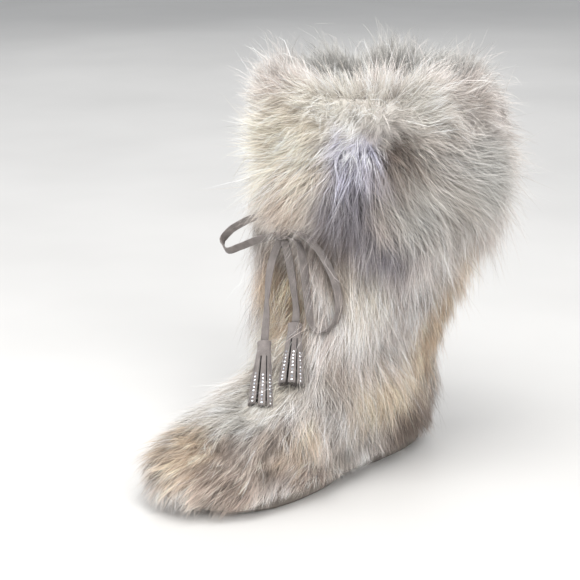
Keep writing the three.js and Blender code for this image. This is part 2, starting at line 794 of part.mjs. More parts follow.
addPiece("outsole", outsole(), RUBBER);
addPiece("insole", insole(), FELT);
addPiece("upper", upper(), HIDE);
addPiece("vamp_fur", vampFur(), FUR);
addPiece("shaft_fur", shaftFur(), FUR);
addPiece("cuff_fur", cuffFur(), FUR);
addPiece("tie_band", tieBand(), SUEDE);
addPiece("tie_knot", knot(), SUEDE);
addPiece("tie_loop_medial", strap(LOOP_MEDIAL), SUEDE);
addPiece("tie_loop_lateral", strap(LOOP_LATERAL), SUEDE);
addPiece("tie_end_medial", strap(END_MEDIAL), SUEDE);
addPiece("tie_end_lateral", strap(END_LATERAL), SUEDE);
addPiece("tassel_medial", tassel(TASSEL_MEDIAL), SUEDE);
addPiece("tassel_lateral", tassel(TASSEL_LATERAL), SUEDE);

export default boot;
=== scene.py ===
"""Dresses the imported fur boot: long hair on the hide, a suede tie with tassels and a rubber sole.

Sizes in the classes are millimetres in the part's own frame: X runs to the toe, Y to the wearer's
left, Z up from the floor. Meshes are written in metres.
"""

import logging
import math
from abc import ABC, abstractmethod
from dataclasses import dataclass, field
from enum import Enum

import bpy
import numpy as np
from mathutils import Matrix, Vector, kdtree

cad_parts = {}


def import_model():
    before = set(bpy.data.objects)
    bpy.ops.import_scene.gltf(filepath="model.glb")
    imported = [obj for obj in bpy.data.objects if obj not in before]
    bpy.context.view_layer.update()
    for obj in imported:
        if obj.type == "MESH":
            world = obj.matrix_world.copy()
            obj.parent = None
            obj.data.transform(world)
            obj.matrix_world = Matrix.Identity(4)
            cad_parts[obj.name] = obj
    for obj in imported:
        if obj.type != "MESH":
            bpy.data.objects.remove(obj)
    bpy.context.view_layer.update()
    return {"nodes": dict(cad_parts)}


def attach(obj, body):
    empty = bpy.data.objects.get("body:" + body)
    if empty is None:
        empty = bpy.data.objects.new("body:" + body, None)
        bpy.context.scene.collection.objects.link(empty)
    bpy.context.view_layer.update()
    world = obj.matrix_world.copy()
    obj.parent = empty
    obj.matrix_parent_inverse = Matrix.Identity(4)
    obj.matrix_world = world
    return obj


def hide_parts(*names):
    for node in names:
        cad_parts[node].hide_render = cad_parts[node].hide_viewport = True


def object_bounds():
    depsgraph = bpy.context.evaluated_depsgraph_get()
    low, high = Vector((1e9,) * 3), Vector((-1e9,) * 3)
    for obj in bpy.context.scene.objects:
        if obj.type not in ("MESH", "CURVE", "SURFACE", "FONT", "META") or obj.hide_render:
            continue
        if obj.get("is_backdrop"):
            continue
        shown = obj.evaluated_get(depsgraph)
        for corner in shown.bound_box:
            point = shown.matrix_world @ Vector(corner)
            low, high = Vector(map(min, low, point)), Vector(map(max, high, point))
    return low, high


LOG = logging.getLogger("fur_boot")
MM = 0.001
BODY = "root"
SEED = 7106
UP = (0.0, 0.0, 1.0)
TURN = 2 * math.pi

Array = np.ndarray
Chance = np.random.Generator
Object = bpy.types.Object
Material = bpy.types.Material
Socket = bpy.types.NodeSocket
Point = tuple[float, float, float]
Colour = tuple[int, int, int]
Span = tuple[float, float]
Rows = tuple[Span, ...]
Stops = tuple[tuple[float, Colour], ...]
Settings = tuple[tuple[str, float], ...]

# The soft roll over the collar's rim, from outside to inside: depth over the hide, rise over the rim
CREST_ROLL: Rows = ((21, -14), (23, -2), (20, 10), (12, 20), (1, 22), (-8, 16), (-10, 6), (-8, -2))
# How finely a strap's curve is drawn between two of its points
ROUTE_STEPS = 24
# A slow random field: how many waves it adds, how far their lengths vary, and its height
WAVE_COUNT = 7
WAVE_STRETCH: Span = (0.7, 1.5)
WAVE_HEIGHT = 2.6


class Drift(Enum):
    """Slow random fields over the boot, by the number that their chance starts from."""

    PATCH_EDGE = 0
    PILE = 40
    SWIRL = 41
    RIM_SWING = 43
    RIM_REACH = 44
    RIM_ASIDE = 45
    LIFT = 47
    MOTTLE = 50


def linear(colour: Colour) -> Array:
    """Linear light of a screen colour, from red, green and blue of 0 to 255."""
    value = np.asarray(colour, float) / 255
    return np.where(value <= 0.04045, value / 12.92, ((value + 0.055) / 1.055) ** 2.4)


def socket_colour(colour: Colour) -> tuple[float, float, float, float]:
    """A screen colour as a shader socket takes it."""
    red, green, blue = (float(v) for v in linear(colour))
    return red, green, blue, 1.0


def unit(vectors: Array) -> Array:
    """Vectors of length 1 along the ones given."""
    return vectors / np.maximum(np.linalg.norm(vectors, axis=-1, keepdims=True), 1e-9)


def ease(value: Array | float, low: float, high: float) -> Array:
    """A smooth step from 0 at low to 1 at high."""
    t = np.clip((np.asarray(value, float) - low) / (high - low), 0, 1)
    return t * t * (3 - 2 * t)


def look_up(rows: Rows, at: Array) -> Array:
    """Straight-line reading of a table of (place, value) rows."""
    places, values = zip(*rows)
    return np.interp(at, places, values)


def squared(wave: Array | float, power: float) -> Array:
    """A sine or cosine with its crests flattened, which rounds a square off."""
    return np.sign(wave) * np.abs(wave) ** power


def waves(points: Array, length: float, drift: Drift, number: int = 0) -> Array:
    """A slow random field over space.

    Args:
        points: Places, one row each.
        length: Typical distance from crest to crest.
        drift: Which field.
        number: Which of several fields of that kind.

    Returns:
        One value for each place, mostly from -1 to 1.
    """
    rng = np.random.default_rng(SEED + drift.value + number)
    total = np.zeros(len(points))
    for _ in range(WAVE_COUNT):
        heading = unit(rng.normal(size=3)) * (TURN / length) * rng.uniform(*WAVE_STRETCH)
        total += np.sin(points @ heading + rng.uniform(0, TURN))
    return total / WAVE_HEIGHT


def turned(vectors: Array, axes: Array, angles: Array) -> Array:
    """Vectors that lie across their axes, turned round them by angles in radians."""
    cos, sin = np.cos(angles)[:, None], np.sin(angles)[:, None]
    return vectors * cos + np.cross(axes, vectors) * sin


def level_with(vectors: Array, normals: Array) -> Array:
    """What is left of vectors in the planes across normals."""
    return vectors - (vectors * normals).sum(1)[:, None] * normals


def run_along(line: Array) -> Array:
    """How far along a line each of its points is."""
    return np.concatenate([[0], np.cumsum(np.linalg.norm(np.diff(line, axis=0), axis=1))])


def read_along(at: Array, gone: Array, rows: Array) -> Array:
    """Rows of a line read at distances along it."""
    return np.stack([np.interp(at, gone, rows[:, k]) for k in range(3)], axis=1)


def arc(start: Array, middle: Array, end: Array, share: Array) -> Array:
    """Curves that leave start for middle and come in to end, at shares of their way."""
    leaving = (1 - share) ** 2 * start[:, None] + 2 * share * (1 - share) * middle[:, None]
    return leaving + share**2 * end[:, None]


def smooth_route(points: tuple[Point, ...], count: int) -> Array:
    """A smooth curve through points, as the solids' straps follow it.

    Args:
        points: Places that the curve passes through.
        count: How many points to give back, evenly spread.

    Returns:
        The curve's points, one row each.
    """
    way = np.asarray(points, float)
    way = np.vstack([2 * way[0] - way[1], way, 2 * way[-1] - way[-2]])
    dense: list[Array] = []
    for p0, p1, p2, p3 in zip(way, way[1:], way[2:], way[3:]):
        t0 = 0.0
        t1 = t0 + math.sqrt(np.linalg.norm(p1 - p0))
        t2 = t1 + math.sqrt(np.linalg.norm(p2 - p1))
        t3 = t2 + math.sqrt(np.linalg.norm(p3 - p2))
        t = np.linspace(t1, t2, ROUTE_STEPS, endpoint=False)[:, None]
        a1 = (t1 - t) / (t1 - t0) * p0 + (t - t0) / (t1 - t0) * p1
        a2 = (t2 - t) / (t2 - t1) * p1 + (t - t1) / (t2 - t1) * p2
        a3 = (t3 - t) / (t3 - t2) * p2 + (t - t2) / (t3 - t2) * p3
        b1 = (t2 - t) / (t2 - t0) * a1 + (t - t0) / (t2 - t0) * a2
        b2 = (t3 - t) / (t3 - t1) * a2 + (t - t1) / (t3 - t1) * a3
        dense.append((t2 - t) / (t2 - t1) * b1 + (t - t1) / (t2 - t1) * b2)
    line = np.vstack([*dense, way[-2][None]])
    gone = run_along(line)
    return read_along(np.linspace(0, gone[-1], count), gone, line)


def route_length(route: Array) -> float:
    """Length of a route, in metres."""
    return float(run_along(route)[-1]) * MM


def add_mesh(name: str, points: Array, corners: Array, starts: Array, smooth: bool = True) -> Object:
    """Adds a mesh object to the scene.

    Args:
        name: Name of the object.
        points: Vertices in millimetres, one row each.
        corners: Vertex numbers of all faces, one after another.
        starts: Where each face starts in corners.
        smooth: Whether faces are shaded smooth.

    Returns:
        The object, at the origin.
    """
    mesh = bpy.data.meshes.new(name)
    mesh.vertices.add(len(points))
    mesh.vertices.foreach_set("co", (points * MM).astype(np.float32).ravel())
    mesh.loops.add(len(corners))
    mesh.loops.foreach_set("vertex_index", corners.astype(np.int32).ravel())
    mesh.polygons.add(len(starts))
    mesh.polygons.foreach_set("loop_start", starts.astype(np.int32).ravel())
    mesh.polygons.foreach_set("use_smooth", np.full(len(starts), smooth))
    mesh.update(calc_edges=True)
    mesh.validate()
    made = bpy.data.objects.new(name, mesh)
    bpy.context.scene.collection.objects.link(made)
    return made


def give_tint(piece: Object, colours: Array) -> None:
    """Stores a tint on each point of a piece."""
    tint = piece.data.attributes.new("tint", "FLOAT_VECTOR", "POINT")
    tint.data.foreach_set("vector", colours.astype(np.float32).ravel())


def settle(piece: Object, slot: str, *nodes: str) -> None:
    """Lets a piece ride with the boot and stand for solids.

    Args:
        piece: What is shown.
        slot: The material slot that it belongs to; not used.
        nodes: The solids that it stands for.
    """
    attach(piece, BODY)
    if nodes:
        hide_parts(*nodes)
    LOG.info("%s: %d faces", piece.name, len(piece.data.polygons))


@dataclass
class Pieces:
    """Points and faces of small pieces that become one joined mesh."""

    points: list[Array] = field(default_factory=list)
    faces: list[list[int]] = field(default_factory=list)
    used: int = 0

    def add(self, points: Array, faces: list[list[int]]) -> None:
        """Takes in a piece whose faces count from its own first point.

        Args:
            points: The piece's points.
            faces: Point numbers of each face.
        """
        self.points.append(np.asarray(points, float))
        self.faces.extend([[v + self.used for v in f] for f in faces])
        self.used += len(points)

    def loft(self, rings: Array, capped: bool = True, closed: bool = False) -> None:
        """Takes in a skin over rings of points.

        Args:
            rings: Rings by points by three.
            capped: Whether the first and last ring are filled.
            closed: Whether the last ring joins the first.
        """
        count, around = rings.shape[:2]
        faces = []
        for i in range(count if closed else count - 1):
            here, there = i * around, (i + 1) % count * around
            for k in range(around):
                n = (k + 1) % around
                faces.append([here + k, here + n, there + n, there + k])
        if capped and not closed:
            faces.append(list(range(around))[::-1])
            faces.append([(count - 1) * around + k for k in range(around)])
        self.add(rings.reshape(-1, 3), faces)

    def build(self, name: str, smooth: bool = True) -> Object:
        """Makes the joined mesh object.

        Args:
            name: Name of the object.
            smooth: Whether faces are shaded smooth.

        Returns:
            The object.
        """
        corners = np.fromiter((v for f in self.faces for v in f), np.int32)
        sizes = np.array([len(f) for f in self.faces])
        starts = np.concatenate([[0], np.cumsum(sizes)[:-1]])
        return add_mesh(name, np.vstack(self.points), corners, starts, smooth)


@dataclass(frozen=True)
class Grain:
    """A noise in a finish: its features to the metre, their detail, and how they are drawn out."""

    scale: float
    detail: float
    stretch: Point = (1, 1, 1)


class Shader:
    """A material under way: adds nodes, joins them and sets the surface's sockets."""

    def __init__(self, name: str) -> None:
        """Starts a material with one surface shader.

        Args:
            name: Name of the material.
        """
        self.material = bpy.data.materials.new(name)
        self.material.use_nodes = True
        self.tree = self.material.node_tree
        self.surface = self.tree.nodes["Principled BSDF"]
        self.place = self.node("ShaderNodeTexCoord").outputs["Object"]

    def node(self, kind: str, inputs: dict | None = None, **settings: object) -> bpy.types.Node:
        """Adds a node.

        Args:
            kind: Blender's name of the node type.
            inputs: Values or sockets for its inputs, by name or number.
            settings: Properties of the node.

        Returns:
            The node.
        """
        made = self.tree.nodes.new(kind)
        for key, value in settings.items():
            setattr(made, key, value)
        for key, value in (inputs or {}).items():
            if isinstance(value, Socket):
                self.tree.links.new(value, made.inputs[key])
            else:
                made.inputs[key].default_value = value
        return made

    def noise(self, grain: Grain) -> Socket:
        """A noise in space, from 0 to 1.

        Args:
            grain: Its scale, detail and stretch.

        Returns:
            The noise's socket.
        """
        mapped = self.node("ShaderNodeMapping", {"Vector": self.place, "Scale": grain.stretch})
        inputs = {"Vector": mapped.outputs["Vector"], "Scale": grain.scale, "Detail": grain.detail}
        return self.node("ShaderNodeTexNoise", inputs).outputs["Fac"]

    def ramp(self, factor: Socket, stops: Stops) -> Socket:
        """Colours along a factor.

        Args:
            factor: What the colours follow, from 0 to 1.
            stops: Rows of a place along the factor and its colour.

        Returns:
            The colour's socket.
        """
        made = self.node("ShaderNodeValToRGB", {"Fac": factor})
        band = made.color_ramp.elements
        while len(band) < len(stops):
            band.new(0.5)
        for element, (at, colour) in zip(band, stops):
            element.position = at
            element.color = socket_colour(colour)
        return made.outputs["Color"]

    def span(self, factor: Socket, low: float, high: float) -> Socket:
        """A factor from 0 to 1 spread from low to high."""
        inputs = {"Value": factor, "To Min": low, "To Max": high}
        return self.node("ShaderNodeMapRange", inputs).outputs["Result"]

    def bump(self, height: Socket, strength: float, depth: float) -> None:
        """Roughens the surface by a height, with its depth in millimetres."""
        inputs = {"Height": height, "Strength": strength, "Distance": depth * MM}
        self.wire("Normal", self.node("ShaderNodeBump", inputs).outputs["Normal"])

    def wire(self, name: str, source: Socket) -> None:
        """Joins a node's output to one of the surface's sockets."""
        self.tree.links.new(source, self.surface.inputs[name])

    def set(self, settings: Settings) -> None:
        """Sets some of the surface's sockets."""
        for name, value in settings:
            self.surface.inputs[name].default_value = value


class Finish(ABC):
    """What a piece is covered with."""

    @abstractmethod
    def material(self) -> Material:
        """Makes the material."""

    def dress(self, *pieces: Object) -> None:
        """Gives pieces this finish alone.

        Args:
            pieces: What is covered.
        """
        made = self.material()
        for piece in pieces:
            if len(piece.material_slots) == 0:
                piece.data.materials.append(made)
            for place in piece.material_slots:
                place.material = made


@dataclass(frozen=True)
class HairFinish(Finish):
    """Long hair, tinted strand by strand from root to tip."""

    name: str = "long_hair"
    roughness: Span = (0.42, 0.62)
    band: Grain = Grain(260, 2.0)
    shade: Span = (0.9, 1.1)
    settings: Settings = (("Specular IOR Level", 0.3), ("Sheen Weight", 0.12), ("Sheen Roughness", 0.5))

    def material(self) -> Material:
        """Makes the material.

        Returns:
            The material, which reads each point's tint.
        """
        shader = Shader(self.name)
        tint = shader.node("ShaderNodeAttribute", attribute_name="tint").outputs["Color"]
        band = shader.noise(self.band)
        inputs = {"Color": tint, "Value": shader.span(band, *self.shade)}
        shader.wire("Base Color", shader.node("ShaderNodeHueSaturation", inputs).outputs["Color"])
        shader.wire("Roughness", shader.span(band, *self.roughness))
        shader.set(self.settings)
        return shader.material


@dataclass(frozen=True)
class SuedeFinish(Finish):
    """Brushed suede, with a mottled nap and a soft sheen."""

    name: str = "grey_suede"
    stops: Stops = ((0.3, (100, 94, 92)), (0.5, (127, 120, 117)), (0.72, (151, 144, 140)))
    nap: Grain = Grain(2600, 3.0)
    mottle: Grain = Grain(140, 5.0)
    nap_share: float = 0.5
    roughness: Span = (0.82, 0.98)
    relief: Span = (0.35, 0.25)
    settings: Settings = (("Specular IOR Level", 0.2), ("Sheen Weight", 0.35), ("Sheen Roughness", 0.4))

    def material(self) -> Material:
        """Makes the material.

        Returns:
            The material.
        """
        shader = Shader(self.name)
        mottle = shader.noise(self.mottle)
        nap = shader.noise(self.nap)
        inputs = {0: nap, 1: self.nap_share, 2: shader.span(mottle, 0.0, 1 - self.nap_share)}
        mixed = shader.node("ShaderNodeMath", inputs, operation="MULTIPLY_ADD").outputs["Value"]
        shader.wire("Base Color", shader.ramp(mixed, self.stops))
        shader.wire("Roughness", shader.span(mottle, *self.roughness))
        shader.bump(nap, *self.relief)
        shader.set(self.settings)
        return shader.material


@dataclass(frozen=True)
class MottledFinish(Finish):
    """Tones along one noise, gloss along another, and a relief of strength and depth."""

    name: str
    stops: Stops
    tone: Grain
    gloss: Grain
    roughness: Span
    relief: Grain | None = None
    relief_size: Span = (0, 0)
    settings: Settings = ()

    def material(self) -> Material:
        """Makes the material.

        Returns:
            The material.
        """
        shader = Shader(self.name)
        grains = dict.fromkeys((self.tone, self.gloss, self.relief))
        noises = {grain: shader.noise(grain) for grain in grains if grain}
        shader.wire("Base Color", shader.ramp(noises[self.tone], self.stops))
        shader.wire("Roughness", shader.span(noises[self.gloss], *self.roughness))
        if self.relief:
            shader.bump(noises[self.relief], *self.relief_size)
        shader.set(self.settings)
        return shader.material


@dataclass(frozen=True)
class RubberFinish(MottledFinish):
    """Dull taupe rubber, mottled all over."""

    name: str = "taupe_rubber"
    stops: Stops = ((0.3, (96, 89, 83)), (0.5, (124, 116, 108)), (0.75, (142, 134, 126)))
    tone: Grain = Grain(70, 5.0)
    gloss: Grain = Grain(70, 5.0)
    roughness: Span = (0.62, 0.88)
    relief: Grain | None = Grain(1500, 3.0)
    relief_size: Span = (0.3, 0.2)
    settings: Settings = (("Specular IOR Level", 0.35),)


@dataclass(frozen=True)
class FeltFinish(MottledFinish):
    """Matted fibres, for the footbed."""

    name: str = "beige_felt"
    stops: Stops = ((0.35, (176, 160, 138)), (0.65, (214, 201, 180)))
    tone: Grain = Grain(900, 6.0, (1, 2.5, 1))
    gloss: Grain = Grain(60, 4.0)
    roughness: Span = (0.85, 1.0)
    relief: Grain | None = Grain(900, 6.0, (1, 2.5, 1))
    relief_size: Span = (0.5, 0.5)
    settings: Settings = (("Sheen Weight", 0.3),)


@dataclass(frozen=True)
class HideFinish(MottledFinish):
    """The pelt's skin side, a matt tan hide with a fine grain."""

    name: str = "tan_hide"
    stops: Stops = ((0.3, (142, 122, 104)), (0.7, (188, 168, 146)))
    tone: Grain = Grain(45, 5.0)
    gloss: Grain = Grain(1100, 5.0)
    roughness: Span = (0.7, 0.95)
    relief: Grain | None = Grain(1100, 5.0)
    relief_size: Span = (0.4, 0.3)


@dataclass(frozen=True)
class StoneFinish(MottledFinish):
    """Small foil-backed cut stones."""

    name: str = "cut_stone"
    stops: Stops = ((0.35, (196, 202, 214)), (0.65, (248, 248, 250)))
    tone: Grain = Grain(420, 1.0)
    gloss: Grain = Grain(420, 1.0)
    roughness: Span = (0.05, 0.16)
    settings: Settings = (("Metallic", 0.85), ("Coat Weight", 0.6), ("Coat Roughness", 0.04))


@dataclass(frozen=True)
class FloorFinish(MottledFinish):
    """A plain pale floor."""

    name: str = "pale_floor"
    stops: Stops = ((0.3, (214, 212, 209)), (0.7, (222, 220, 217)))
    tone: Grain = Grain(3, 3.0)
    gloss: Grain = Grain(3, 3.0)
    roughness: Span = (0.5, 0.6)


class Tone(Enum):
    """Colours of the pelt, as the fur shows them."""

    IVORY = (244, 240, 232)
    CREAM = (242, 231, 213)
    PEACH = (234, 208, 178)
    TAN = (212, 184, 154)
    ROSE = (224, 202, 188)
    PEARL = (234, 223, 217)
    SILVER = (210, 203, 197)
    # A grey of the fur, deepened as painted shade for the far rim and the cuff's side turned from the light
    MIST = (178, 177, 173)
    LAVENDER = (237, 236, 255)
    TAUPE = (166, 151, 138)
    SLATE = (112, 108, 116)
    UMBER = (108, 93, 83)


@dataclass(frozen=True)
class Patch:
    """A patch of one tone in the pelt, round a point of the fur's face."""

    x: float
    y: float
    z: float
    radius: float
    tone: Tone
    strength: float = 1.0


@dataclass
class Pelt:
    """The pieced pelt's colours over the boot."""

    ground: Tone = Tone.PEARL
    ground_share: float = 0.12
    fading: float = 1.1
    ragged: float = 7.0
    ragged_length: float = 26
    mottle: float = 0.24
    mottle_length: float = 17
    calm: float = 0.7
    calm_from: Span = (210, 260)
    patches: tuple[Patch, ...] = (
        Patch(111, 42, 306, 28, Tone.CREAM),
        Patch(112, 6, 267, 32, Tone.CREAM, 1.6),
        Patch(118, 26, 236, 20, Tone.CREAM, 1.4),
        Patch(112, -4, 234, 15, Tone.ROSE),
        Patch(116, -4, 212, 14, Tone.TAUPE, 2.6),
        Patch(104, -34, 258, 26, Tone.CREAM),
        Patch(96, 27, 303, 22, Tone.IVORY, 1.6),
        Patch(91, 50, 304, 20, Tone.IVORY, 2.4),
        Patch(92, 62, 290, 20, Tone.IVORY, 2.4),
        Patch(98, 57, 264, 18, Tone.LAVENDER, 8.0),
        Patch(100, 60, 248, 14, Tone.LAVENDER, 9.0),
        Patch(68, 83, 294, 14, Tone.SILVER, 1.6),
        Patch(46, 93, 302, 22, Tone.IVORY, 2.4),
        Patch(34, 104, 256, 16, Tone.SILVER, 1.6),
        # The next three grey patches on the far rim are partly the fur's own grey and partly painted shade
        Patch(-40, -34, 312, 34, Tone.MIST, 3.0),
        Patch(-52, 22, 312, 34, Tone.MIST, 3.0),
        Patch(10, -60, 312, 30, Tone.MIST, 3.0),
        Patch(72, 85, 266, 18, Tone.UMBER, 4.4),
        Patch(82, 80, 248, 13, Tone.UMBER, 2.0),
        Patch(20, 101, 286, 28, Tone.SILVER, 2.0),
        # The grey patches here and at (52, 97, 221) are partly the fur's grey and partly painted shade
        Patch(-6, 108, 239, 27, Tone.MIST, 3.0),
        Patch(103, 54, 221, 21, Tone.SLATE, 12.0),
        Patch(52, 97, 221, 26, Tone.MIST, 1.6),
        Patch(82, 76, 219, 15, Tone.TAUPE, 2.4),
        Patch(54, 98, 252, 18, Tone.TAUPE, 1.8),
        Patch(16, 102, 224, 18, Tone.TAUPE),
        Patch(64, 72, 180, 15, Tone.SLATE, 2.6),
        Patch(88, 32, 190, 14, Tone.UMBER, 2.0),
        Patch(20, 84, 184, 20, Tone.SILVER),
        Patch(72, 54, 150, 17, Tone.CREAM),
        Patch(42, 78, 147, 22, Tone.PEARL, 2.0),
        Patch(-20, 70, 140, 24, Tone.TAN, 1.2),
        Patch(86, 42, 162, 9, Tone.TAUPE, 2.0),
        Patch(88, -18, 143, 18, Tone.TAN, 3.0),
        Patch(99, -6, 114, 15, Tone.TAN),
        Patch(59, 52, 97, 19, Tone.PEARL, 2.4),
        Patch(62, 56, 66, 18, Tone.PEACH, 3.2),
        Patch(28, 60, 66, 16, Tone.PEACH, 2.6),
        Patch(-4, 64, 94, 23, Tone.TAN, 2.6),
        Patch(118, 42, 78, 19, Tone.SILVER),
        Patch(95, 45, 92, 14, Tone.TAUPE, 1.4),
        Patch(14, 46, 22, 18, Tone.UMBER, 6.0),
        Patch(-12, 48, 32, 17, Tone.UMBER, 5.0),
        Patch(172, 9, 76, 22, Tone.IVORY, 1.6),
        Patch(141, 10, 78, 19, Tone.CREAM, 1.4),
        Patch(226, 3, 52, 22, Tone.PEACH, 1.4),
        Patch(232, 28, 36, 17, Tone.ROSE),
        Patch(198, 31, 58, 10, Tone.UMBER, 2.0),
        Patch(178, 50, 42, 15, Tone.TAUPE, 1.5),
        Patch(146, 57, 46, 13, Tone.PEACH),
        Patch(96, 57, 28, 20, Tone.SILVER, 1.3),
        Patch(105, 58, 25, 14, Tone.TAUPE, 1.6),
        Patch(135, 58, 22, 17, Tone.ROSE),
        Patch(208, 44, 20, 17, Tone.ROSE, 1.0),
        Patch(211, 30, 25, 16, Tone.TAUPE, 2.0),
        Patch(40, -78, 306, 15, Tone.UMBER, 1.4),
        Patch(-50, -50, 300, 34, Tone.SILVER),
        Patch(60, -85, 285, 24, Tone.IVORY),
        Patch(30, -104, 246, 22, Tone.UMBER, 1.6),
        Patch(-20, -105, 232, 28, Tone.SILVER),
        Patch(88, -62, 236, 22, Tone.CREAM),
        Patch(-100, 5, 256, 32, Tone.CREAM),
        Patch(-88, 55, 214, 24, Tone.TAUPE, 1.4),
        Patch(-92, -46, 216, 24, Tone.IVORY),
        Patch(-70, 62, 285, 26, Tone.SILVER),
        Patch(80, -46, 182, 15, Tone.UMBER, 1.6),
        Patch(66, -62, 150, 20, Tone.TAUPE, 1.4),
        Patch(50, -70, 120, 18, Tone.SLATE, 1.6),
        Patch(10, -78, 160, 24, Tone.PEARL),
        Patch(-40, -66, 170, 20, Tone.PEACH),
        Patch(-78, 0, 160, 24, Tone.PEACH),
        Patch(-68, 34, 118, 18, Tone.SLATE, 1.4),
        Patch(-62, -38, 120, 22, Tone.IVORY),
        Patch(-60, 0, 66, 22, Tone.CREAM),
        Patch(-58, 18, 34, 15, Tone.UMBER, 1.8),
        Patch(-30, -50, 60, 20, Tone.SILVER),
        Patch(102, -42, 84, 20, Tone.CREAM),
        Patch(52, -56, 88, 18, Tone.PEARL),
        Patch(30, -54, 42, 20, Tone.TAN),
        Patch(86, -56, 34, 18, Tone.UMBER, 1.8),
        Patch(130, -60, 42, 20, Tone.PEACH),
        Patch(180, -52, 42, 20, Tone.IVORY),
        Patch(220, -32, 34, 15, Tone.TAUPE, 1.4),
    )

    def colours(self, points: Array) -> Array:
        """The pelt's colour at places on the fur's face.

        Args:
            points: Places in millimetres, one row each.

        Returns:
            Linear colours, one row each.
        """
        edges = [waves(points, self.ragged_length, Drift.PATCH_EDGE, k) for k in range(3)]
        moved = points + self.ragged * np.stack(edges, axis=1)
        weight = np.full(len(points), self.ground_share)
        mixed = weight[:, None] * linear(self.ground.value)
        for patch in self.patches:
            away = np.linalg.norm(moved - (patch.x, patch.y, patch.z), axis=1) / patch.radius
            share = patch.strength * np.exp(-self.fading * away**2)
            mixed += share[:, None] * linear(patch.tone.value)
            weight += share
        mottle = self.mottle * waves(points, self.mottle_length, Drift.MOTTLE)
        mottle *= 1 - self.calm * ease(points[:, 2], *self.calm_from)
        return mixed * (np.exp(mottle) / weight)[:, None]


@dataclass(frozen=True)
class Pile:
    """How deep the fur stands on the hide, by the rise over the sole and the side of the boot."""

    depths: Rows = (
        (0, 8), (12, 13), (28, 17), (49, 20), (66, 22), (90, 23), (124, 25),
        (157, 30), (173, 34), (183, 38), (203, 43), (226, 46), (246, 44), (262, 38),
    )
    ankle: Span = (50, 100)
    foot_axis: float = 60
    leg_axis: float = 8
    foot_side: float = 0.92
    toe_thinning: float = 0.2
    leg_lean: float = -0.1
    cuff_lean: float = 0.24
    cuff_swell: Span = (162, 222)
    deep_turn: float = 0.367
    bow_foot: Span = (70, 100)
    bow_top: Span = (183, 208)
    bow_parting: float = 0.4
    bow_turn: float = 0.01
    bow_width: float = 0.028
    instep_foot: Span = (25, 55)
    instep_top: Span = (150, 200)
    instep_swell: float = 0.45
    instep_width: float = 0.17
    heel_back: Span = (-30, 25)
    heel_top: Span = (50, 120)
    heel_thinning: float = 0.3

    def depth(self, places: Array, rise: Array) -> Array:
        """Depth of the pile over places on the hide.

        Args:
            places: Places on the hide.
            rise: Their rises over the sole.

        Returns:
            One depth for each place.
        """
        leg = ease(rise, *self.ankle)
        axis = self.foot_axis + (self.leg_axis - self.foot_axis) * leg
        angle = np.arctan2(places[:, 1], places[:, 0] - axis)
        lean = self.leg_lean + self.cuff_lean * ease(rise, *self.cuff_swell)
        side = (1 - leg) * (self.foot_side - self.toe_thinning * np.cos(angle))
        side += leg * (1 + lean * np.cos(angle - TURN * self.deep_turn))
        turn = angle / TURN
        band = ease(rise, *self.bow_foot) * (1 - ease(rise, *self.bow_top))
        parted = 1 - self.bow_parting * band * np.exp(-(((turn + self.bow_turn) / self.bow_width) ** 2))
        ridge = self.instep_swell * np.exp(-((turn / self.instep_width) ** 2))
        instep = 1 + ridge * ease(rise, *self.instep_foot) * (1 - ease(rise, *self.instep_top))
        thinned = self.heel_thinning * ease(-places[:, 0], *self.heel_back)
        heel = 1 - thinned * (1 - ease(rise, *self.heel_top))
        return look_up(self.depths, rise) * side * parted * instep * heel


@dataclass(frozen=True)
class Lie:
    """Which way the hair runs: ahead on the foot, down the leg, and out from whorls on the cuff."""

    foot_top: Span = (80, 125)
    ahead: float = 1.15
    ahead_from: Span = (25, 150)
    aside: float = 0.35
    aside_half: float = 40
    aside_from: Span = (30, 60)
    lift: float = 0.75
    lift_drift: float = 0.3
    lift_length: float = 70
    lift_from: Span = (222, 266)
    whorl: float = 0.6
    whorl_axis: float = 8
    fan_size: float = 2.3
    fan_width: float = 0.9
    fan_from: Span = (186, 240)

    def fan(self, places: Array) -> Array:
        """How far the cuff's hair leans round the leg, away from a whorl in front and one behind.

        Args:
            places: Roots.

        Returns:
            One lean for each place, counterclockwise from above where it is positive.
        """
        turn = np.arctan2(places[:, 1], places[:, 0] - self.whorl_axis) - self.whorl
        turn = (turn + math.pi / 2) % math.pi - math.pi / 2
        return self.fan_size * turn * np.exp(-((turn / self.fan_width) ** 2))

    def flow(self, places: Array, normals: Array, rise: Array) -> Array:
        """Which way hair lies on the hide, shorter where it stands straight out.

        Args:
            places: Roots.
            normals: The hide's normals there.
            rise: Their rises over the sole.

        Returns:
            Vectors in the hide's own plane, of length 1 or less.
        """
        x, y, z = places.T
        foot = 1 - ease(z, *self.foot_top)
        ahead = self.ahead * foot * ease(x, *self.ahead_from)
        aside = self.aside * foot * np.clip(y / self.aside_half, -1, 1) * ease(z, *self.aside_from)
        lift = self.lift + self.lift_drift * waves(places, self.lift_length, Drift.LIFT)
        heading = np.stack([ahead, aside, -1 + lift * ease(rise, *self.lift_from)], axis=1)
        around = np.stack([-normals[:, 1], normals[:, 0], np.zeros(len(places))], axis=1)
        heading += (self.fan(places) * ease(rise, *self.fan_from))[:, None] * around
        flat = level_with(heading, normals)
        return flat / np.maximum(np.linalg.norm(flat, axis=1, keepdims=True), 1)


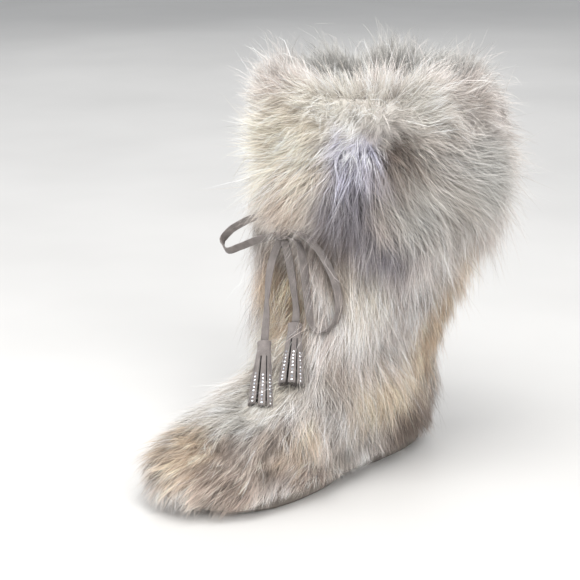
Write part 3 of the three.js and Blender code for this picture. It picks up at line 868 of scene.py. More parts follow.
@dataclass
class Hide:
    """The upper's skin, read from its solid: the ground that hair and lining grow on."""

    node: Object
    pile: Pile = Pile()
    lie: Lie = Lie()
    spine: tuple[Point, ...] = (
        (206, -3, 33), (150, -2, 38), (80, 0, 44), (20, 0, 62), (8, 0, 110), (8, 0, 282),
    )
    feather: Rows = ((-40, 20), (40, 19), (95, 15), (140, 13), (175, 14), (205, 18), (232, 24))
    level_face: float = 0.985
    foot_faces: Span = (30, 150)
    rim_slack: float = 0.5
    margin: float = 30
    spare: int = 4
    points: Array = field(init=False)
    outer: Array = field(init=False)
    inner: Array = field(init=False)
    outer_normals: Array = field(init=False)
    inner_normals: Array = field(init=False)

    def __post_init__(self) -> None:
        """Reads the solid's triangles and tells its outer faces from its inner ones."""
        mesh = self.node.data
        mesh.calc_loop_triangles()
        corners = np.empty(len(mesh.loop_triangles) * 3, np.int32)
        mesh.loop_triangles.foreach_get("vertices", corners)
        flat = np.empty(len(mesh.vertices) * 3, np.float32)
        mesh.vertices.foreach_get("co", flat)
        loose = flat.reshape(-1, 3).astype(float) / MM
        _, first, joined = np.unique(np.round(loose, 2), axis=0, return_index=True, return_inverse=True)
        self.points = loose[first]
        faces = joined.reshape(-1)[corners].reshape(-1, 3)
        a, b, c = (self.points[faces[:, k]] for k in range(3))
        normals = unit(np.cross(b - a, c - a))
        middle = (a + b + c) / 3
        facing = ((middle - self.near_spine(middle)) * normals).sum(1)
        low, high = self.foot_faces
        wall = np.abs(normals[:, 2]) < self.level_face
        wall |= (middle[:, 2] < high) & (middle[:, 2] > low)
        self.outer = faces[wall & (facing > 0)]
        self.inner = faces[wall & (facing <= 0)]
        self.outer_normals = self.vertex_normals(self.outer)
        self.inner_normals = self.vertex_normals(self.inner)

    def near_spine(self, places: Array) -> Array:
        """The nearest point of the spine inside the boot to each place.

        Args:
            places: Places on the hide.

        Returns:
            Points of the spine, one row each.
        """
        best = np.full(len(places), np.inf)
        nearest = np.zeros_like(places)
        for start, end in zip(self.spine, self.spine[1:]):
            start, along = np.asarray(start, float), np.subtract(end, start).astype(float)
            share = np.clip(((places - start) @ along) / (along @ along), 0, 1)
            spot = start + share[:, None] * along
            gap = np.linalg.norm(places - spot, axis=1)
            nearest[gap < best] = spot[gap < best]
            best = np.minimum(best, gap)
        return nearest

    def vertex_normals(self, faces: Array) -> Array:
        """Smooth normals of the points that faces use.

        Args:
            faces: Point numbers of triangles.

        Returns:
            A normal for each of the hide's points.
        """
        a, b, c = (self.points[faces[:, k]] for k in range(3))
        total = np.zeros_like(self.points)
        for k in range(3):
            np.add.at(total, faces[:, k], np.cross(b - a, c - a))
        return unit(total)

    def rise(self, places: Array) -> Array:
        """Height of places over the sole."""
        return places[:, 2] - look_up(self.feather, places[:, 0])

    def depth(self, places: Array) -> Array:
        """Depth of the fur's pile over places on the hide."""
        return self.pile.depth(places, self.rise(places))

    def fullness(self, places: Array) -> Array:
        """The pile's depth over places at the rim, as a share of its mean there."""
        return self.depth(places) / self.pile.depths[-1][1]

    def flow(self, places: Array, normals: Array) -> Array:
        """Which way hair lies at places on the hide."""
        return self.lie.flow(places, normals, self.rise(places))

    def rim(self) -> tuple[Array, Array]:
        """The collar's outer edge.

        Returns:
            Its points in turn, and the level normals there.
        """
        used = np.unique(self.outer)
        top = used[self.points[used][:, 2] > self.points[used][:, 2].max() - self.rim_slack]
        skin = self.points[top]
        order = np.argsort(np.arctan2(skin[:, 1], skin[:, 0] - skin[:, 0].mean()))
        return skin[order], unit(self.outer_normals[top] * (1, 1, 0))[order]

    def along_rim(self, count: int, rng: Chance) -> tuple[Array, Array]:
        """Random places round the collar's outer edge.

        Args:
            count: How many places.
            rng: Source of chance.

        Returns:
            Places and the level normals there.
        """
        skin, normals = (np.vstack([rows, rows[:1]]) for rows in self.rim())
        gone = run_along(skin)
        at = rng.random(count) * gone[-1]
        return read_along(at, gone, skin), unit(read_along(at, gone, normals))

    def sample(
        self, count: int, low: float, high: float, rng: Chance, inside: bool = False
    ) -> tuple[Array, Array]:
        """Random places on the hide between two rises over the sole.

        Args:
            count: How many places.
            low: Least rise.
            high: Greatest rise.
            rng: Source of chance.
            inside: Whether the places are on the inner face.

        Returns:
            Places and the normals there.
        """
        faces = self.inner if inside else self.outer
        normals = self.inner_normals if inside else self.outer_normals
        a, b, c = (self.points[faces[:, k]] for k in range(3))
        area = np.linalg.norm(np.cross(b - a, c - a), axis=1)
        level = self.rise((a + b + c) / 3)
        area = np.where((level > low - self.margin) & (level < high + self.margin), area, 0)
        tries = count * self.spare
        pick = rng.choice(len(faces), size=tries, p=area / area.sum())
        u, v = rng.random(tries), rng.random(tries)
        fold = u + v > 1
        u[fold], v[fold] = 1 - u[fold], 1 - v[fold]
        weights = np.stack([1 - u - v, u, v], axis=1)[:, :, None]
        places = (self.points[faces[pick]] * weights).sum(1)
        facing = unit((normals[faces[pick]] * weights).sum(1))
        rise = self.rise(places)
        kept = np.nonzero((rise >= low) & (rise <= high))[0][:count]
        return places[kept], facing[kept]


@dataclass
class Strands:
    """Hairs as curves of a few points, with their widths, facings and tints."""

    lines: Array
    widths: Array
    facings: Array
    tints: Array
    tip: float = 0.1
    taper: float = 1.6
    cell_sides: Span = (0.25, 0.75)
    cell_foot: float = 0.12
    cell_height: float = 0.76

    def build(self, name: str) -> Object:
        """Makes one joined mesh of tapered flat hairs.

        Args:
            name: Name of the piece.

        Returns:
            The piece, with a tint on each point and a map with a cell for each hair.
        """
        count, steps = self.lines.shape[:2]
        tangents = unit(np.gradient(self.lines, axis=1))
        across = unit(np.cross(tangents, self.facings[:, None, :]))
        share = np.linspace(0, 1, steps)
        taper = (1 - share[:-1] ** self.taper) * (1 - self.tip) + self.tip
        half = 0.5 * self.widths[:, None] * taper[None]
        left = self.lines[:, :-1] - across[:, :-1] * half[..., None]
        right = self.lines[:, :-1] + across[:, :-1] * half[..., None]
        pairs = np.stack([left, right], axis=2).reshape(count, -1, 3)
        points = np.concatenate([pairs, self.lines[:, -1:]], axis=1)
        each = points.shape[1]
        faces = [[2 * k, 2 * k + 1, 2 * k + 3, 2 * k + 2] for k in range(steps - 2)]
        faces.append([each - 3, each - 2, each - 1])
        pattern = np.array([v for f in faces for v in f])
        heads = np.cumsum([0] + [len(f) for f in faces[:-1]])
        corners = (np.arange(count) * each)[:, None] + pattern[None]
        starts = (np.arange(count) * len(pattern))[:, None] + heads[None]
        made = add_mesh(name, points.reshape(-1, 3), corners.ravel(), starts.ravel())
        levels = np.append(np.repeat(np.arange(steps - 1), 2), steps - 1)
        give_tint(made, self.tints[:, levels])
        self.lay_map(made, levels[pattern] / (steps - 1), pattern)
        return made

    def lay_map(self, piece: Object, heights: Array, pattern: Array) -> None:
        """Gives each hair a cell of its own in the piece's map.

        Args:
            piece: The joined mesh.
            heights: How far up its hair each corner of one hair is, from 0 to 1.
            pattern: Point numbers of the corners of one hair.
        """
        count = len(self.lines)
        grid = math.ceil(math.sqrt(count))
        column = (np.arange(count) % grid)[:, None]
        row = (np.arange(count) // grid)[:, None]
        u = (column + np.where(pattern % 2 == 0, *self.cell_sides)[None]) / grid
        v = (row + self.cell_foot + self.cell_height * heights[None]) / grid
        layer = piece.data.uv_layers.new(name="OFBake")
        layer.data.foreach_set("uv", np.stack([u, v], axis=-1).astype(np.float32).ravel())


@dataclass
class Comb:
    """Presses hair under what lies on it, such as a strap or a tassel."""

    spots: Array
    halves: Array
    depths: Array
    loose: float = 0.05
    near: float = 0.8
    far: float = 8.0
    reach: float = 25
    deepest: float = 45
    batch: int = 1200

    def press(self, lines: Array, roots: Array, normals: Array, least: Array, rng: Chance) -> Array:
        """Hairs pushed in along the hide's normal where they would cover a strap.

        Args:
            lines: The hairs' points.
            roots: Where they root.
            normals: The hide's normal at each root.
            least: How high over its root each hair stays.
            rng: Source of chance.

        Returns:
            The hairs' new points.
        """
        low, high = self.spots.min(0) - self.reach, self.spots.max(0) + self.reach
        close = ((lines > low) & (lines < high)).all(2).any(1) & (rng.random(len(lines)) > self.loose)
        chosen = np.nonzero(close)[0]
        pressed = lines.copy()
        for part in np.array_split(chosen, max(1, len(chosen) // self.batch)):
            height = ((lines[part] - roots[part][:, None]) * normals[part][:, None]).sum(2)
            give = np.maximum(height - least[part][:, None], 0)
            push = np.minimum(self.cover(lines[part], normals[part]), give)
            pressed[part] = lines[part] - normals[part][:, None] * push[..., None]
        return pressed

    def cover(self, lines: Array, normals: Array) -> Array:
        """How far each point of some hairs has to go in, read between the points too.

        Args:
            lines: The hairs' points.
            normals: The hide's normal at each root.

        Returns:
            Distances, hairs by points.
        """
        steps = lines.shape[1]
        parts = [(1 - t) * lines[:, :-1] + t * lines[:, 1:] for t in (0, 1 / 3, 2 / 3)]
        fine = np.stack(parts, axis=2).reshape(len(lines), -1, 3)
        fine = np.concatenate([fine, lines[:, -1:]], axis=1)
        gap = fine[:, :, None, :] - self.spots
        over = (gap * normals[:, None, None, :]).sum(3)
        aside = np.sqrt(np.maximum((gap**2).sum(3) - over**2, 0)) - self.halves
        share = 1 - ease(aside, self.near, self.far)
        push = np.where(np.abs(over) < self.deepest, share * (over + self.depths), 0)
        push = np.maximum(push.max(2), 0)
        return np.stack([push[:, max(0, 3 * k - 3) : 3 * k + 4].max(1) for k in range(steps)], axis=1)


@dataclass(kw_only=True)
class Coat(ABC):
    """A stretch of long hair, gathered in locks and in finer strands."""

    name: str
    node: str
    hairs: int
    locks: int
    seed: int
    gather: float = 0.45
    cling: float = 0.7
    bunch: int = 6
    farthest: float = 16
    width: float = 0.4
    stray: float = 0.06
    stray_pull: float = 0.2
    streak: float = 0.28
    fleck: float = 0.27
    single: float = 0.1
    pale: float = 0.26
    dark: float = 0.12
    grades: Span = (2.0, 1.5)
    pulls: Span = (0.5, 1.15)
    gather_power: float = 1.7
    cling_power: float = 1.2
    wave_turns: float = 1.3
    tumble: float = 0.55
    # Painted shade at the root rising to painted light at the tip, one factor for each point of a hair
    painted_depth_shade: tuple[float, ...] = (0.22, 0.58, 0.98, 1.14)
    veils: tuple[float, ...] = (0.2, 0.4, 0.6, 0.65)
    own_share: float = 0.35
    place_share: float = 0.65
    glow: Span = (0.7, 0.5)
    pale_grade: float = 0.3
    pale_light: Span = (0.85, 1.1)
    dark_light: Span = (0.5, 1.0)
    dark_mix: Span = (0.45, 0.55)
    light_range: Span = (0.008, 0.9)
    steps: tuple[float, ...] = (0.1, 0.42, 0.74, 1.0)

    @abstractmethod
    def grow(self, hide: Hide, pelt: Pelt, comb: Comb, room: tuple[Array, Array]) -> Strands:
        """Grows the hairs.

        Args:
            hide: What they root in.
            pelt: Their colours.
            comb: What presses them down.
            room: Lowest and highest corner of the room they keep to.

        Returns:
            The hairs.
        """

    def shares(self) -> Array:
        """How far along a hair its points are, to go with hairs by points by three."""
        return np.asarray(self.steps)[None, :, None]

    def leads(self, roots: Array, number: int, rng: Chance) -> Array:
        """Picks leading hairs, and for each hair the nearest of them.

        Args:
            roots: Where the hairs root.
            number: How many hairs lead.
            rng: Source of chance.

        Returns:
            The number of the hair that leads each hair.
        """
        chosen = rng.choice(len(roots), number, replace=False)
        tree = kdtree.KDTree(number)
        for place, lead in enumerate(chosen):
            tree.insert(Vector(roots[lead]), place)
        tree.balance()
        return np.fromiter((chosen[tree.find(Vector(r))[1]] for r in roots), np.int64, len(roots))

    def drawn(self, tips: Array, lock: Array, strand: Array, wild: Array, rng: Chance) -> Array:
        """How far the points of each hair are drawn to those that lead its lock and its strand.

        Args:
            tips: The hairs' tips.
            lock: The hair that leads each hair's lock.
            strand: The hair that leads each hair's strand.
            wild: Which hairs stand apart.
            rng: Source of chance.

        Returns:
            Shifts, hairs by points by three.
        """
        share = self.shares()
        far = self.gathering(tips, lock, self.gather, wild, rng)
        near = self.gathering(tips + far, strand, self.cling, wild, rng)
        return far[:, None] * share**self.gather_power + near[:, None] * share**self.cling_power

    def gathering(self, tips: Array, lead: Array, pull: float, wild: Array, rng: Chance) -> Array:
        """How far each tip is drawn to the tip of the hair that leads it.

        Args:
            tips: The hairs' tips.
            lead: The hair that leads each hair.
            pull: Share of the way that hairs are drawn.
            wild: Which hairs stand apart.
            rng: Source of chance.

        Returns:
            Shifts of the tips.
        """
        way = tips[lead] - tips
        size = np.linalg.norm(way, axis=1, keepdims=True)
        way *= np.minimum(1, self.farthest / np.maximum(size, 1e-6))
        share = pull * rng.uniform(*self.pulls, len(tips))
        share[wild] *= self.stray_pull
        return way * share[:, None]

    def tinted(
        self, pelt: Pelt, lines: Array, lock: Array, strand: Array, grade: Array, rng: Chance
    ) -> Array:
        """Tints from root to tip: the pelt's tone with painted shade at the root and painted light at the
        tip, and pale or dark tips.

        Args:
            pelt: The pelt's colours over the boot.
            lines: The hairs' points.
            lock: The hair that leads each hair's lock.
            strand: The hair that leads each hair's strand.
            grade: How long each hair is for its place, from 0 to 1.
            rng: Source of chance.

        Returns:
            Colours, hairs by points by three.
        """
        count = len(lines)
        own = pelt.colours(lines[:, 2])
        places = [pelt.colours(lines[:, k]) for k in range(lines.shape[1])]
        near = [self.own_share * own + self.place_share * place for place in places]
        light = np.exp(rng.normal(0, self.streak, count))[lock]
        light *= np.exp(rng.normal(0, self.single, count))
        light *= np.exp(rng.normal(0, self.fleck, count))[strand]
        short, more = self.glow
        light = (light * (short + more * grade))[:, None]
        kind = rng.random(count)[strand]
        pale = (kind < self.pale) & (grade > self.pale_grade)
        dark = kind > 1 - self.dark
        guard = np.sqrt(own * linear(Tone.IVORY.value)) * rng.uniform(*self.pale_light, count)[:, None]
        deep = linear(Tone.UMBER.value) * rng.uniform(*self.dark_light, count)[:, None]
        kept, added = self.dark_mix
        levels = []
        # Each level is scaled from painted shade at the root to painted light at the tip
        for tone, shade, veil in zip(near, self.painted_depth_shade, self.veils):
            body = tone * light
            body = np.where(pale[:, None], (1 - veil) * body + veil * guard, body)
            body = np.where(dark[:, None], kept * body + added * deep, body)
            levels.append(shade * body)
        return np.clip(np.stack(levels, axis=1), *self.light_range)


@dataclass(kw_only=True)
class WallCoat(Coat):
    """Hair that grows on the hide between two rises and lies along it."""

    low: float
    high: float
    run: float
    least: float = 0
    short: float = 0.6
    long: float = 0.72
    swell: float = 0.14
    swell_length: float = 34
    swirl: float = 0.4
    swirl_length: float = 60
    stir: float = 0.22
    runs: Span = (0.6, 1.25)
    stray_stands: Span = (1.05, 1.3)
    stray_runs: Span = (0.8, 1.4)
    bend_out: float = 0.78
    bend_along: float = 0.16
    jitter: float = 0.06
    wave: float = 0.045
    pressed: float = 0.55
    clearance: float = 0.8
    widths: Span = (0.6, 1.25)
    toe: Span = (150, 205)
    hem: float = 7.5
    hem_at_toe: float = 6
    hem_ragged: float = 8
    ragged_at_toe: float = 4
    shortest: float = 0.12

    def grow(self, hide: Hide, pelt: Pelt, comb: Comb, room: tuple[Array, Array]) -> Strands:
        """Grows the hairs on the hide.

        Args:
            hide: What they root in.
            pelt: Their colours.
            comb: What presses them down.
            room: Lowest and highest corner of the room they keep to.

        Returns:
            The hairs.
        """
        rng = np.random.default_rng(SEED + self.seed)
        roots, normals = hide.sample(self.hairs, self.low, self.high, rng)
        count = len(roots)
        swell = 1 + self.swell * waves(roots, self.swell_length, Drift.PILE)
        depth = np.maximum(hide.depth(roots), self.least) * swell
        swirl = self.swirl * waves(roots, self.swirl_length, Drift.SWIRL) + rng.normal(0, self.stir, count)
        flow = turned(hide.flow(roots, normals), normals, swirl)
        grade = rng.beta(*self.grades, count)
        stand = depth * (self.short + self.long * grade)
        run = self.run * depth * rng.uniform(*self.runs, count)
        wild = rng.random(count) < self.stray
        stand[wild] *= rng.uniform(*self.stray_stands, wild.sum())
        run[wild] *= rng.uniform(*self.stray_runs, wild.sum())
        run = self.off_floor(roots, normals, flow, stand, run, rng)
        bend = roots + normals * (self.bend_out * stand)[:, None] + flow * (self.bend_along * run)[:, None]
        tips = roots + normals * stand[:, None] + flow * run[:, None]
        tips += rng.normal(0, self.jitter, (count, 3)) * depth[:, None]
        share = self.shares()
        lines = arc(roots, bend, tips, share)
        lock, strand = (self.leads(roots, n, rng) for n in (self.locks, count // self.bunch))
        wave = rng.normal(0, self.wave, (count, 3))[strand] * (stand + run)[:, None]
        lines += wave[:, None] * np.sin(math.pi * share * self.wave_turns)
        lines += self.drawn(tips, lock, strand, wild, rng)
        lines = comb.press(lines, roots, normals, self.pressed * depth, rng)
        lines = np.clip(lines, *room)
        floor = self.clearance + self.clearance * rng.random(count)[:, None]
        lines[..., 2] = np.maximum(lines[..., 2], floor)
        facings = unit(normals + rng.normal(0, self.tumble, (count, 3)))
        widths = self.width * rng.uniform(*self.widths, count)
        return Strands(lines, widths, facings, self.tinted(pelt, lines, lock, strand, grade, rng))

    def off_floor(
        self, roots: Array, normals: Array, flow: Array, stand: Array, run: Array, rng: Chance
    ) -> Array:
        """Shortens the run of hair that would hang below the sole's edge.

        Args:
            roots: Where the hairs root.
            normals: The hide's normals there.
            flow: Which way the hairs lie.
            stand: How far out they stand.
            run: How far they run along the hide.
            rng: Source of chance.

        Returns:
            The new runs.
        """
        toe = ease(roots[:, 0], *self.toe)
        ragged = self.hem_ragged - self.ragged_at_toe * toe
        clear = self.hem - self.hem_at_toe * toe + ragged * rng.random(len(roots))
        top = roots[:, 2] + normals[:, 2] * stand
        fall = -flow[:, 2] * run
        room = np.clip((top - clear) / np.maximum(fall, 1e-3), self.shortest, 1)
        return np.where(fall > 0, run * room, run)


@dataclass(kw_only=True)
class RimCoat(Coat):
    """The hair of the cuff's crest, which stands up from a soft roll and falls to both sides."""

    tilt: float = 30.0
    ragged: float = 34.0
    ragged_length: float = 62
    scatter: float = 20
    follow: float = 0.85
    upright: float = 33.0
    outright: float = 18.0
    reaches: Span = (0.5, 0.75)
    tuft: float = 0.14
    tuft_length: float = 30
    stray_reach: Span = (1.1, 1.6)
    sway: float = 0.3
    sway_length: float = 50
    stir: float = 0.25
    fanning: float = 0.8
    droop: float = 0.22
    bend: float = 0.55
    bend_up: float = 0.05
    wave: float = 0.07
    widths: Span = (0.6, 1.2)

    @staticmethod
    def crest(count: int, rng: Chance) -> tuple[Array, Array, Array]:
        """Random places on the roll's profile.

        Args:
            count: How many places.
            rng: Source of chance.

        Returns:
            Depth over the hide, rise over the rim, and how far the roll's face leans out there.
        """
        profile = np.asarray(CREST_ROLL, float)
        gone = run_along(profile)
        slope = np.gradient(profile, gone, axis=0)
        at = rng.random(count) * gone[-1]
        depth, rise, inward, upward = (np.interp(at, gone, row) for row in (*profile.T, *slope.T))
        return depth, rise, np.arctan2(upward, -inward)

    def grow(self, hide: Hide, pelt: Pelt, comb: Comb, room: tuple[Array, Array]) -> Strands:
        """Grows the hairs round the rim.

        Args:
            hide: What they root in.
            pelt: Their colours.
            comb: What presses hair down; not used, as it doesn't reach the rim.
            room: Lowest and highest corner of the room they keep to.

        Returns:
            The hairs.
        """
        rng = np.random.default_rng(SEED + self.seed)
        count, up = self.hairs, np.array(UP)
        rim, out = hide.along_rim(count, rng)
        depth, rise, lean = self.crest(count, rng)
        roots = rim + out * (depth * hide.fullness(rim))[:, None] + up * rise[:, None]
        swing = self.tilt + self.ragged * waves(roots, self.ragged_length, Drift.RIM_SWING)
        lean = self.follow * lean + np.radians(swing + rng.normal(0, self.scatter, count))
        side = np.cross(out, up)
        aside = self.sway * waves(roots, self.sway_length, Drift.RIM_ASIDE)
        aside = aside + rng.normal(0, self.stir, count) - self.fanning * hide.lie.fan(roots)
        heading = np.cos(lean)[:, None] * up + np.sin(lean)[:, None] * out
        heading = unit(heading + side * aside[:, None])
        grade = rng.beta(*self.grades, count)
        reach = self.outright + (self.upright - self.outright) * np.clip(np.cos(lean), 0, 1)
        least, more = self.reaches
        tuft = 1 + self.tuft * waves(roots, self.tuft_length, Drift.RIM_REACH)
        reach *= (least + more * grade) * tuft
        wild = rng.random(count) < self.stray
        reach[wild] *= rng.uniform(*self.stray_reach, wild.sum())
        droop = self.droop * reach * np.clip(np.sin(lean), 0, 1)
        bend = roots + heading * (self.bend * reach)[:, None] + up * (self.bend_up * reach)[:, None]
        tips = roots + heading * reach[:, None] - up * droop[:, None]
        share = self.shares()
        lines = arc(roots, bend, tips, share)
        lock, strand = (self.leads(roots, n, rng) for n in (self.locks, count // self.bunch))
        wave = rng.normal(0, self.wave, (count, 3))[strand] * reach[:, None]
        lines += wave[:, None] * np.sin(math.pi * share * self.wave_turns)
        lines += self.drawn(tips, lock, strand, wild, rng)
        lines = np.clip(lines, *room)
        facings = unit(np.cross(heading, side) + rng.normal(0, self.tumble, (count, 3)))
        widths = self.width * rng.uniform(*self.widths, count)
        return Strands(lines, widths, facings, self.tinted(pelt, lines, lock, strand, grade, rng))


@dataclass(frozen=True)
class Underfur:
    """A thick fleece under the long hair, between two rises over the sole."""

    name: str
    node: str
    low: float
    high: float


@dataclass
class Fur:
    """All the long hair of the boot, with the underfur that fills it."""

    hide: Hide
    pelt: Pelt = field(default_factory=Pelt)
    finish: HairFinish = field(default_factory=HairFinish)
    # Each coat's root-to-tip factors paint shade into the roots and light onto the tips
    coats: tuple[Coat, ...] = (
        WallCoat(
            name="vamp_hair", node="vamp_fur", hairs=39000, locks=1500, seed=1, low=1, high=95, run=2.1,
            least=13, cling=0.45, bunch=4, width=0.3, stray=0.1, streak=0.32, fleck=0.2, pale=0.34,
            dark=0.09, painted_depth_shade=(0.34, 0.66, 1.0, 1.14),
        ),
        WallCoat(
            name="shaft_hair", node="shaft_fur", hairs=37000, locks=1100, seed=2, low=92, high=180, run=1.5,
            cling=0.5, bunch=5, width=0.32, streak=0.32, fleck=0.24,
        ),
        WallCoat(
            name="cuff_hair", node="cuff_fur", hairs=38000, locks=1000, seed=3, low=178, high=232, run=1.2,
            cling=0.58, short=0.52, long=0.62, streak=0.22, fleck=0.17, painted_depth_shade=(0.3, 0.66, 1.0, 1.13),
        ),
        WallCoat(
            name="cuff_top_hair", node="cuff_fur", hairs=28000, locks=700, seed=4, low=226, high=262,
            run=1.35, gather=0.4, cling=0.5, short=0.5, long=0.62, streak=0.14, fleck=0.12, dark=0.04,
            painted_depth_shade=(0.62, 0.88, 1.04, 1.12),
        ),
        RimCoat(
            name="rim_hair", node="cuff_fur", hairs=38000, locks=1000, seed=5, gather=0.4, stray=0.1,
            streak=0.12, fleck=0.12, dark=0.03, painted_depth_shade=(0.75, 0.94, 1.06, 1.12),
        ),
    )
    fleeces: tuple[Underfur, ...] = (
        Underfur("vamp_underfur", "vamp_fur", 3, 90),
        Underfur("shaft_underfur", "shaft_fur", 90, 173),
        Underfur("cuff_underfur", "cuff_fur", 183, 262),
    )
    fleece_share: float = 0.5
    fleece_least: float = 1.5
    fleece_floor: float = 12
    # The underfur's tint is the pelt's colour darkened as painted shade deep in the pile
    fleece_painted_shade: float = 0.45
    roll_lift: float = 10
    # The rim roll's tint is darkened a little as painted shade
    roll_painted_shade: float = 0.85
    room_share: float = 0.025
    room_more: float = 8

    def room(self) -> tuple[Array, Array]:
        """The room that hair keeps to.

        Returns:
            Its lowest and highest corner, in millimetres.
        """
        low, high = (np.array(v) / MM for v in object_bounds())
        slack = self.room_share * (high - low) + self.room_more
        return low - slack, high + slack

    def underfur(self, fleece: Underfur) -> Object:
        """Makes a fleece that follows the hide, in the pelt's colours darkened as painted shade.

        Args:
            fleece: Its name and the stretch that it covers.

        Returns:
            The fleece.
        """
        hide = self.hide
        level = hide.rise(hide.points[hide.outer].mean(1))
        faces = hide.outer[(level >= fleece.low) & (level < fleece.high)]
        used, corners = np.unique(faces, return_inverse=True)
        skin, normals = hide.points[used], hide.outer_normals[used]
        depth = hide.depth(skin) * self.fleece_share
        points = skin + normals * np.maximum(depth, self.fleece_least)[:, None]
        points[:, 2] = np.maximum(points[:, 2], self.fleece_floor)
        corners = corners.reshape(-1)
        made = add_mesh(fleece.name, points, corners, np.arange(0, len(corners), 3))
        # Painted shade: the fleece takes a darkened copy of the pelt's colour
        give_tint(made, self.fleece_painted_shade * self.pelt.colours(points + normals * depth[:, None]))
        return made

    def rim_roll(self, name: str) -> Object:
        """A soft roll of underfur over the collar's rim, its tint darkened a little as painted shade.

        Args:
            name: Name of the piece.

        Returns:
            The roll.
        """
        skin, normals = self.hide.rim()
        full = self.hide.fullness(skin)[:, None]
        rings = np.stack([skin + normals * full * out + np.multiply(UP, rise) for out, rise in CREST_ROLL])
        body = Pieces()
        body.loft(rings, capped=False)
        made = body.build(name)
        seen = rings.reshape(-1, 3) + np.multiply(UP, self.roll_lift)
        # Painted shade: the roll takes a darkened copy of the pelt's colour
        give_tint(made, self.roll_painted_shade * self.pelt.colours(seen))
        return made

    def build(self, comb: Comb) -> None:
        """Grows every coat under the tie and lets it stand for its solid.

        Args:
            comb: What presses the hair down.
        """
        room = self.room()
        made: list[tuple[Object, str]] = []
        for coat in self.coats:
            made.append((coat.grow(self.hide, self.pelt, comb, room).build(coat.name), coat.node))
        for fleece in self.fleeces:
            made.append((self.underfur(fleece), fleece.node))
        made.append((self.rim_roll("rim_underfur"), "cuff_fur"))
        self.finish.dress(*(piece for piece, _ in made))
        for piece, node in made:
            settle(piece, "fur", node)


@dataclass
class Lining:
    """A short fleece on the inside of the upper."""

    hide: Hide
    name: str = "lining_fleece"
    tufts: int = 18000
    seed: int = 9
    low: float = 6
    high: float = 261.5
    length: float = 6.0
    lengths: Span = (0.6, 1.2)
    bend: Span = (0.6, 0.4)
    tip: Span = (0.5, 0.9)
    widths: Span = (1.0, 1.8)
    fleck: float = 0.08
    brightest: float = 0.9
    pale: Colour = (226, 214, 194)
    deep: Colour = (186, 171, 150)
    finish: HairFinish = HairFinish("lining_pile", (0.75, 0.9))

    def build(self) -> None:
        """Grows the fleece."""
        rng = np.random.default_rng(SEED + self.seed)
        roots, normals = self.hide.sample(self.tufts, self.low, self.high, rng, inside=True)
        count = len(roots)
        length = self.length * rng.uniform(*self.lengths, count)[:, None]
        aside = unit(level_with(unit(rng.normal(0, 1, (count, 3))), normals))
        lines = [roots]
        for out, along in (self.bend, self.tip):
            lines.append(roots + normals * out * length + aside * along * length)
        light = np.exp(rng.normal(0, self.fleck, count))[:, None, None]
        tints = np.stack([linear(self.deep), linear(self.pale), linear(self.pale)])[None] * light
        widths = rng.uniform(*self.widths, count)
        strands = Strands(np.stack(lines, axis=1), widths, normals, np.clip(tints, 0, self.brightest))
        piece = strands.build(self.name)
        self.finish.dress(piece)
        settle(piece, "hide")


@dataclass
class Strap:
    """A flat suede strap along a route, with thinned edges and a groove inside each."""

    name: str
    node: str
    across: Point
    points: tuple[Point, ...]
    twist: Rows = ((0, 0), (1, 0))
    tuck: float = 0
    width: float = 6.4
    thick: float = 1.4
    rings: int = 64

    HALF_SECTION = (
        (-1.0, -0.3), (-0.93, -0.8), (-0.72, -0.86), (-0.62, -0.7), (-0.4, -0.98),
        (0.4, -0.98), (0.62, -0.7), (0.72, -0.86), (0.93, -0.8), (1.0, -0.3),
    )

    @classmethod
    def section(cls) -> Array:
        """The outline across a strap, in halves of its width and thickness."""
        return np.array(cls.HALF_SECTION + tuple((-w, -t) for w, t in cls.HALF_SECTION))

    def route(self, count: int) -> Array:
        """The strap's centreline."""
        return smooth_route(self.points, count)

    def skin(self) -> Array:
        """The strap's face.

        Returns:
            Rings by points by three.
        """
        way = self.route(self.rings)
        way[-1] += unit(way[-1] - way[-2]) * self.tuck
        along = unit(np.gradient(way, axis=0))
        across = np.asarray(self.across, float)
        wide = across[None] - (along @ across)[:, None] * along
        angle = np.radians(look_up(self.twist, np.linspace(0, 1, self.rings)))
        wide = turned(unit(wide), along, angle)
        thin = np.cross(along, wide)
        spread, rise = self.section().T * ((self.width / 2,), (self.thick / 2,))
        return way[:, None] + wide[:, None] * spread[None, :, None] + thin[:, None] * rise[None, :, None]

    def build(self) -> Object:
        """Makes the strap's mesh.

        Returns:
            The strap.
        """
        body = Pieces()
        body.loft(self.skin())
        return body.build(self.name)


